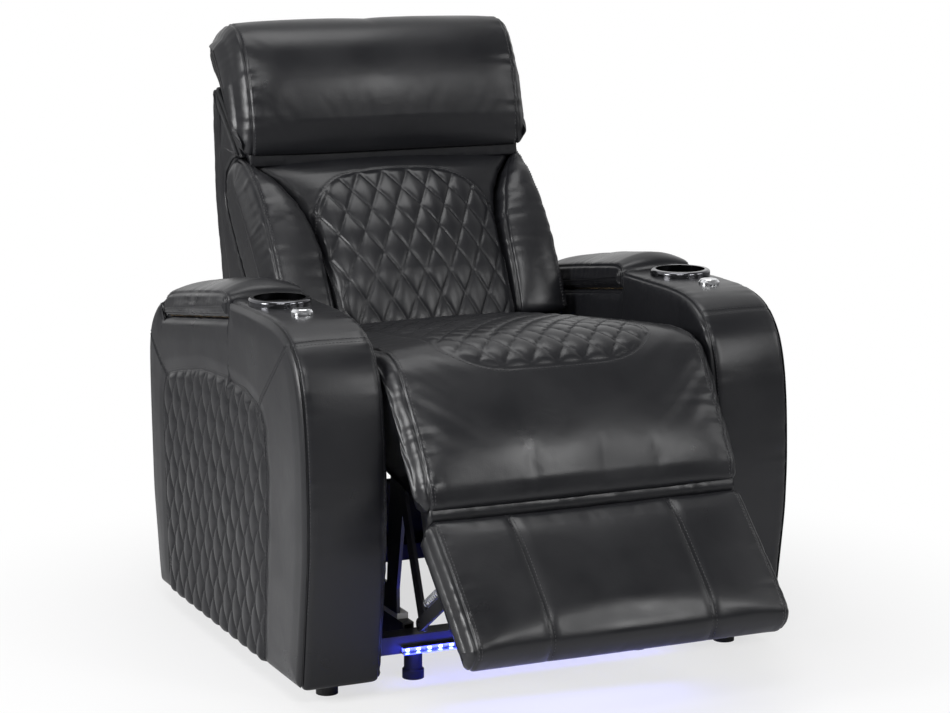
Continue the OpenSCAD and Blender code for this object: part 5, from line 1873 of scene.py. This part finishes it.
    def side_height(self, y: Array, z: Array, outline: Section) -> Array:
        """Distance of the side's surface from the middle of the seat.

        Args:
            y: Place along the arm, in metres.
            z: Height, in metres.
            outline: The arm's outline.

        Returns:
            Distances along X, in metres.
        """
        spots = np.stack([y.ravel(), z.ravel()], axis=1)
        gap = distance_to(closed_loop(outline.points[::2]), spots).reshape(y.shape)
        radius = self.edge * MM
        edge = radius - np.sqrt(np.maximum(0, radius**2 - np.maximum(0, radius - gap) ** 2))
        arch, rear, front = self.seam_paths()
        inside = signed_inside(closed_loop(arch), spots).reshape(y.shape)
        to_arch = distance_to(arch, spots).reshape(y.shape)
        inside = np.where(inside > 0, to_arch, -to_arch)
        seams = np.minimum(distance_to(rear, spots), distance_to(front, spots)).reshape(y.shape)
        base = (self.outer - self.side_inset) * MM
        puff = self.puff * ease(gap, 0, 45 * MM) * ease(-inside, 0, 26 * MM)
        seams = bell(to_arch, self.seam_width) + bell(seams, self.slant_width)
        groove = -self.seam_groove * seams
        diamonds = self.quilt.relief(y - arch[0, 0] + 9 * MM, z - arch[0, 1] - 18 * MM, inside)
        quiet = SOFT_RISE * noise_field(y + 4, z + 2, 90 * MM, 91)
        return base - edge + puff + groove + diamonds + quiet * ease(gap, 0, 30 * MM)

    def build_lid(self) -> None:
        """Makes the lid's pad, crowned and sewn along both sides."""
        rise = 38
        top = [(0.0, 0.52, 8), (0.012, 0.84, 10), (0.05, 0.98, 12), (0.12, 1.02, 16),
               (0.3, 1.03, 40), (0.58, 1.02, 50), (0.78, 1.0, 40), (0.92, 0.92, 20),
               (0.985, 0.7, 14), (1.0, 0.24, 8)]
        length = self.lid_rear - self.lid_front
        middle = self.lid_front + length / 2
        front, rear = self.lid_seat(self.lid_front), self.lid_seat(self.lid_rear)
        under = self.board - 1.8
        corners = [(self.lid_front + 0.6, front - under, 3), (self.lid_rear - 0.6, rear - under, 3)]
        for a, b, r in top[::-1]:
            y = self.lid_front + a * length
            corners.append((y, self.lid_seat(y) + b * rise, r))
        cushion = Cushion(
            name=f"{self.side.word}_lid_cover", body=f"{self.side.word}_lid",
            replaces=(f"{self.side.word}_lid_pad",), corners=corners,
            spine=((self.lid_front + 16, front + 12), (self.lid_rear - 16, rear + 10)),
            half=73.5, middle=self.box_middle(), edge=10, crown=19, bulge=1.5, coarse=7.0, fine=3.6,
            crown_marks=((self.lid_front + 3, front, 0), (self.lid_rear - 3, rear, 0),
                         (self.lid_rear, rear + 10, 0.1), (self.lid_rear - 30, rear + rise, 0.9),
                         (middle, self.lid_seat(middle) + rise, 1),
                         (self.lid_front + 30, front + rise, 1),
                         (self.lid_front, front + 12, 0.25)),
            hold_marks=((self.lid_front + 3, front, 1), (self.lid_rear - 3, rear, 1),
                        (middle, self.lid_seat(middle) + rise, 0)),
            seam_turn=0.5, pucker=0.8, fill=0.7, cap=3,
        )
        skin, section = cushion.sewn(seed=101 + self.side.value)
        thread = Thread()
        span = (section.arc_at(self.lid_rear - 6, rear + 20),
                section.arc_at(self.lid_front, front + 22))
        cushion.stitch_sides(skin, thread, span, (3.5,))
        cushion.put_up(skin, thread, f"{self.side.word}_lid_stitches", self.finishes)

    def build(self) -> None:
        """Makes the arm's leather pieces."""
        self.build_box()
        self.build_side()
        self.build_lid()


@dataclass
class Gusset:
    """A leather fold that closes the gap at a hinge.

    Its section is a wedge between a line on the first body and a line on the second,
    both given from the front backward.
    """

    finishes: Finishes
    name: str
    bodies: tuple[str, str]
    first: Sequence[Point]
    second: Sequence[Point]
    half: float
    bow: float = 2.0
    seed: int = 0
    columns: int = 150
    pleat: float = 1.1 * MM
    pleat_period: float = 13 * MM
    pleat_reach: float = 9 * MM

    def build(self) -> None:
        """Makes the fold as a closed form whose front face is gathered."""
        low, high = in_frame(self.first), in_frame(self.second)
        rise = np.linspace(0, 1, 9)
        front = low[0] + (high[0] - low[0]) * rise[:, None]
        front[:, 0] -= self.bow * MM * np.sin(rise * math.pi)
        rear = high[-1] + (low[-1] - high[-1]) * np.linspace(0, 1, 5)[:, None]
        ring = np.concatenate([front[::-1], low[1:], rear[::-1][1:], high[::-1][1:]])
        loop = Section.even(ring, 3 * MM)
        middle = front[len(front) // 2]
        face = bell(np.linalg.norm(loop.points - middle, axis=1), self.pleat_reach)
        x = np.linspace(-self.half, self.half, self.columns) * MM
        pleat = self.pleat * noise_line(x, self.pleat_period, self.seed)[:, None] * face[None]
        spots = loop.points[None] + loop.normals[None] * pleat[..., None]
        across_all = np.broadcast_to(x[:, None, None], (*pleat.shape, 1))
        points = np.concatenate([across_all, spots], axis=2)
        piece = Skin(points, x, loop.arc).build(self.name)
        dress(piece, self.finishes.leather)
        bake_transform(piece)


def make_gussets(finishes: Finishes) -> None:
    """Closes the gap under the headrest and the gap at the footrest's knee.

    Args:
        finishes: The seat's finishes.
    """
    rest = Headrest(finishes).at
    Gusset(finishes, "headrest_gusset", ("back", "headrest"),
           ((298, 798), (317, 815), rest(196, -6)), ((296, 823), rest(14, 7), rest(194, 7)),
           268, bow=0.5, seed=121).build()
    seat, foot = Seat(finishes), Footrest(finishes)
    Gusset(finishes, "knee_gusset", ("flap", "footrest"), (seat.flap(217, 81), seat.flap(204, 44)),
           (foot.at(9, 2), foot.at(16, -45)), 274, bow=3.0, seed=131).build()


@dataclass(frozen=True)
class RearPanel:
    """The leather panel low between the arms, which hides the mechanism from behind."""

    finishes: Finishes
    gap: float = 0.028
    thickness: float = 0.004
    clear: float = 0.003
    low: float = 0.03
    high: float = 0.193
    columns: int = 60
    rows: int = 24
    swell: float = 2 * MM
    swell_turn: float = 19

    def build(self) -> None:
        """Makes the panel as a thin closed sheet with a soft swell."""
        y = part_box("rear_crossbar")[1].y + self.gap
        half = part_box("right_arm_body")[0].x - self.clear
        x = np.linspace(-half, half, self.columns)
        z = np.linspace(self.low, self.high, self.rows)
        xx, zz = np.meshgrid(x, z, indexing="ij")
        over, up = (xx + half) / (2 * half), zz - self.low
        swell = self.swell * np.sin(over * math.pi) * np.sin(up * self.swell_turn)
        front = np.stack([xx, y - swell, zz], axis=2)
        rear = np.stack([xx, y + self.thickness + swell, zz], axis=2)
        loop = np.concatenate([front, rear[:, ::-1]], axis=1)
        count = loop.shape[1]
        caps = [np.arange(count), ((len(x) - 1) * count + np.arange(count))[::-1]]
        quads = grid_quads(len(x), count, True)[:, ::-1]
        piece = mesh_object("rear_panel", loop.reshape(-1, 3), quads, caps)
        dress(piece, self.finishes.leather)
        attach(piece, "frame")


def distance_to(line: Array, points: Array) -> Array:
    """Distance of each point from a polyline, worked out in blocks to save memory.

    Args:
        line: Points of the line, one row each.
        points: Points to measure from.

    Returns:
        Distances, one for each point.
    """
    out = np.empty(len(points))
    for start in range(0, len(points), BLOCK):
        block = points[start:start + BLOCK]
        out[start:start + BLOCK] = np.linalg.norm(nearest_on(line, block) - block, axis=1)
    return out


def signed_inside(loop: Array, points: Array) -> Array:
    """1 for points inside a closed loop and -1 outside it, by counting crossings.

    Args:
        loop: Points of the loop, with the first again at the end.
        points: Points to look at.

    Returns:
        1 or -1 for each point.
    """
    a, b = loop[:-1], loop[1:]
    y, z = points[:, 0][:, None], points[:, 1][:, None]
    straddle = (a[None, :, 1] > z) != (b[None, :, 1] > z)
    with np.errstate(divide="ignore", invalid="ignore"):
        cross = a[None, :, 0] + (z - a[None, :, 1]) * (b - a)[None, :, 0] / (b - a)[None, :, 1]
    return np.where((straddle & (y < cross)).sum(1) % 2 == 1, 1.0, -1.0)


def remove_faces(piece: bpy.types.Object, gone: Array) -> None:
    """Rebuilds a mesh without the faces marked as gone.

    Args:
        piece: The piece whose mesh is rebuilt in place.
        gone: One truth value for each face.
    """
    mesh = piece.data
    count, corners = len(mesh.polygons), len(mesh.loops)
    starts, totals = np.zeros(count, np.int32), np.zeros(count, np.int32)
    corner = np.zeros(corners, np.int32)
    mesh.polygons.foreach_get("loop_start", starts)
    mesh.polygons.foreach_get("loop_total", totals)
    mesh.loops.foreach_get("vertex_index", corner)
    spots = np.zeros(len(mesh.vertices) * 3, np.float32)
    mesh.vertices.foreach_get("co", spots)
    keep = np.nonzero(~gone)[0]
    faces = [corner[starts[k]:starts[k] + totals[k]] for k in keep]
    used = np.unique(np.concatenate(faces))
    number = np.full(len(mesh.vertices), -1)
    number[used] = np.arange(len(used))
    fresh = bpy.data.meshes.new(mesh.name)
    fresh.from_pydata(spots.reshape(-1, 3)[used].tolist(), [],
                      [number[face].tolist() for face in faces])
    fresh.polygons.foreach_set("use_smooth", np.ones(len(faces), bool))
    for material in mesh.materials:
        fresh.materials.append(material)
    piece.data = fresh
    bpy.data.meshes.remove(mesh)


@dataclass(frozen=True)
class Lamp:
    """A soft area lamp: where it hangs, its width and height in metres, and its watts."""

    name: str
    spot: tuple[float, float, float]
    size: tuple[float, float]
    power: float
    aim: tuple[float, float, float] = (0, 0.1, 0.55)
    colour: Colour = (1, 1, 1)

    def hang(self) -> None:
        """Makes the lamp and turns it to what it faces."""
        data = bpy.data.lights.new(self.name, "AREA")
        data.shape = "RECTANGLE"
        data.size, data.size_y = self.size
        data.energy, data.color = self.power, self.colour
        lamp = bpy.data.objects.new(self.name, data)
        bpy.context.scene.collection.objects.link(lamp)
        lamp.location = self.spot
        facing = Vector(self.aim) - Vector(self.spot)
        lamp.rotation_euler = facing.to_track_quat("-Z", "Y").to_euler()


LAMPS = (
    Lamp("key softbox", (-1.1, -2.6, 3.0), (1.5, 0.7), 40),
    Lamp("front softbox", (1.4, -3.0, 2.1), (1.0, 0.7), 26),
    Lamp("side softbox", (-3.2, -0.6, 1.7), (1.1, 1.2), 82),
    Lamp("fill softbox", (2.8, -1.6, 1.9), (1.1, 1.1), 16),
    Lamp("top softbox", (0.0, 0.2, 3.4), (2.2, 1.2), 34),
    Lamp("strip glow", (-0.02, -0.42, 0.08), (0.42, 0.12), 0.40, (-0.03, -0.52, 0.0),
         (0.16, 0.18, 1.0)),
    Lamp("strip wash", (0.0, -0.262, 0.045), (0.5, 0.012), 0.45, (0.0, -0.2, 0.045),
         (0.02, 0.03, 1.0)),
)


@dataclass
class Studio:
    """The pale floor, the world's light, the lamps and the camera."""

    eye: tuple[float, float, float] = (-1927.8, -4403.5, 1382.9)
    aim: tuple[float, float, float] = (39, -22, 479)
    lens: float = 103.4
    sensor: float = 36
    soft: float = 0.12

    def place(self, spot: tuple[float, float, float]) -> Vector:
        """A place given in the drawing's millimetres, in the frame."""
        return Vector((spot[0] * MM, spot[1] * MM + SHIFT_Y, spot[2] * MM))

    def camera(self) -> None:
        """Makes the camera at the photograph's place."""
        data = bpy.data.cameras.new("camera")
        data.sensor_width, data.lens = self.sensor, self.lens
        camera = bpy.data.objects.new("camera", data)
        bpy.context.scene.collection.objects.link(camera)
        camera.location = self.place(self.eye)
        facing = self.place(self.aim) - camera.location
        camera.rotation_euler = facing.to_track_quat("-Z", "Y").to_euler()
        bpy.context.scene.camera = camera

    def world(self) -> None:
        """Plain white for the camera, white behind the seat for mirrors, soft grey as light.

        A mirror that faces the camera's side sees the dim studio there, lit by the softboxes.
        """
        world = bpy.data.worlds.new("studio")
        world.use_nodes = True
        made = Graph(world.node_tree)
        path = made.add("LightPath").outputs
        seen = made.math("MAXIMUM", path["Is Camera Ray"], path["Is Transmission Ray"])
        split = made.add("SeparateXYZ", {0: made.add("TexCoord").outputs["Generated"]})
        behind = made.ramp(split.outputs["Y"], 0.05, 0.9, -0.35, 0.7, "SMOOTHSTEP")
        mirrored = made.math("MULTIPLY", path["Is Glossy Ray"], behind)
        white = made.add("Background", {"Color": (1, 1, 1, 1), "Strength": 1.0})
        soft = made.tree.nodes["Background"]
        made.fill(soft.inputs["Color"], (1, 1, 1, 1))
        made.fill(soft.inputs["Strength"], self.soft)
        made.mix_out(made.math("MAXIMUM", seen, mirrored), soft, white, "World Output")
        bpy.context.scene.world = world

    def floor(self) -> None:
        """A pale floor that turns to plain white away from the seat."""
        count = 10
        y, x = np.meshgrid(np.linspace(-30, 60, count), np.linspace(-30, 30, count))
        points = np.stack([x, y, np.zeros_like(x)], axis=2).reshape(-1, 3)
        piece = mesh_object("floor", points, grid_quads(count, count, False)[:, ::-1])
        made = Nodes("pale floor")
        made.set(**{
            "Base Color": (0.86, 0.86, 0.87, 1), "Roughness": 0.7, "Specular IOR Level": 0.1,
        })
        away = made.add("VectorMath", {0: made.place}, operation="LENGTH").outputs["Value"]
        fade = made.ramp(away, 0.68, 1.0, 0.45, 1.2, "SMOOTHSTEP")
        seen = made.math("MULTIPLY", fade, made.add("LightPath").outputs["Is Camera Ray"])
        made.mix_out(seen, made.shader, made.add("Emission"), "Material Output")
        piece.data.materials.append(made.material)

    def build(self) -> None:
        """Makes the whole studio."""
        self.camera()
        self.world()
        self.floor()
        for lamp in LAMPS:
            lamp.hang()
        bpy.context.scene.view_settings.view_transform = "Standard"


def main() -> None:
    """Builds the seat's pieces in order and reports each."""
    logging.basicConfig(level=logging.INFO, format="%(message)s")
    finishes = Finishes()
    Studio().build()
    dress_rigid_nodes(finishes)
    back = Back(finishes)
    makers = [
        ("headrest", Headrest(finishes).build), ("seat", Seat(finishes).build),
        ("footrest", Footrest(finishes).build),
        ("back centre", back.build_centre), ("left wing", lambda: back.build_wing(Side.LEFT)),
        ("right wing", lambda: back.build_wing(Side.RIGHT)), ("back shell", back.build_shell),
        ("left arm", Arm(finishes, Side.LEFT).build),
        ("right arm", Arm(finishes, Side.RIGHT).build), ("gussets", lambda: make_gussets(finishes)),
        ("rear panel", RearPanel(finishes).build),
    ]
    for name, make in makers:
        make()
        log.info("made %s", name)


if __name__ == "__main__":
    main()
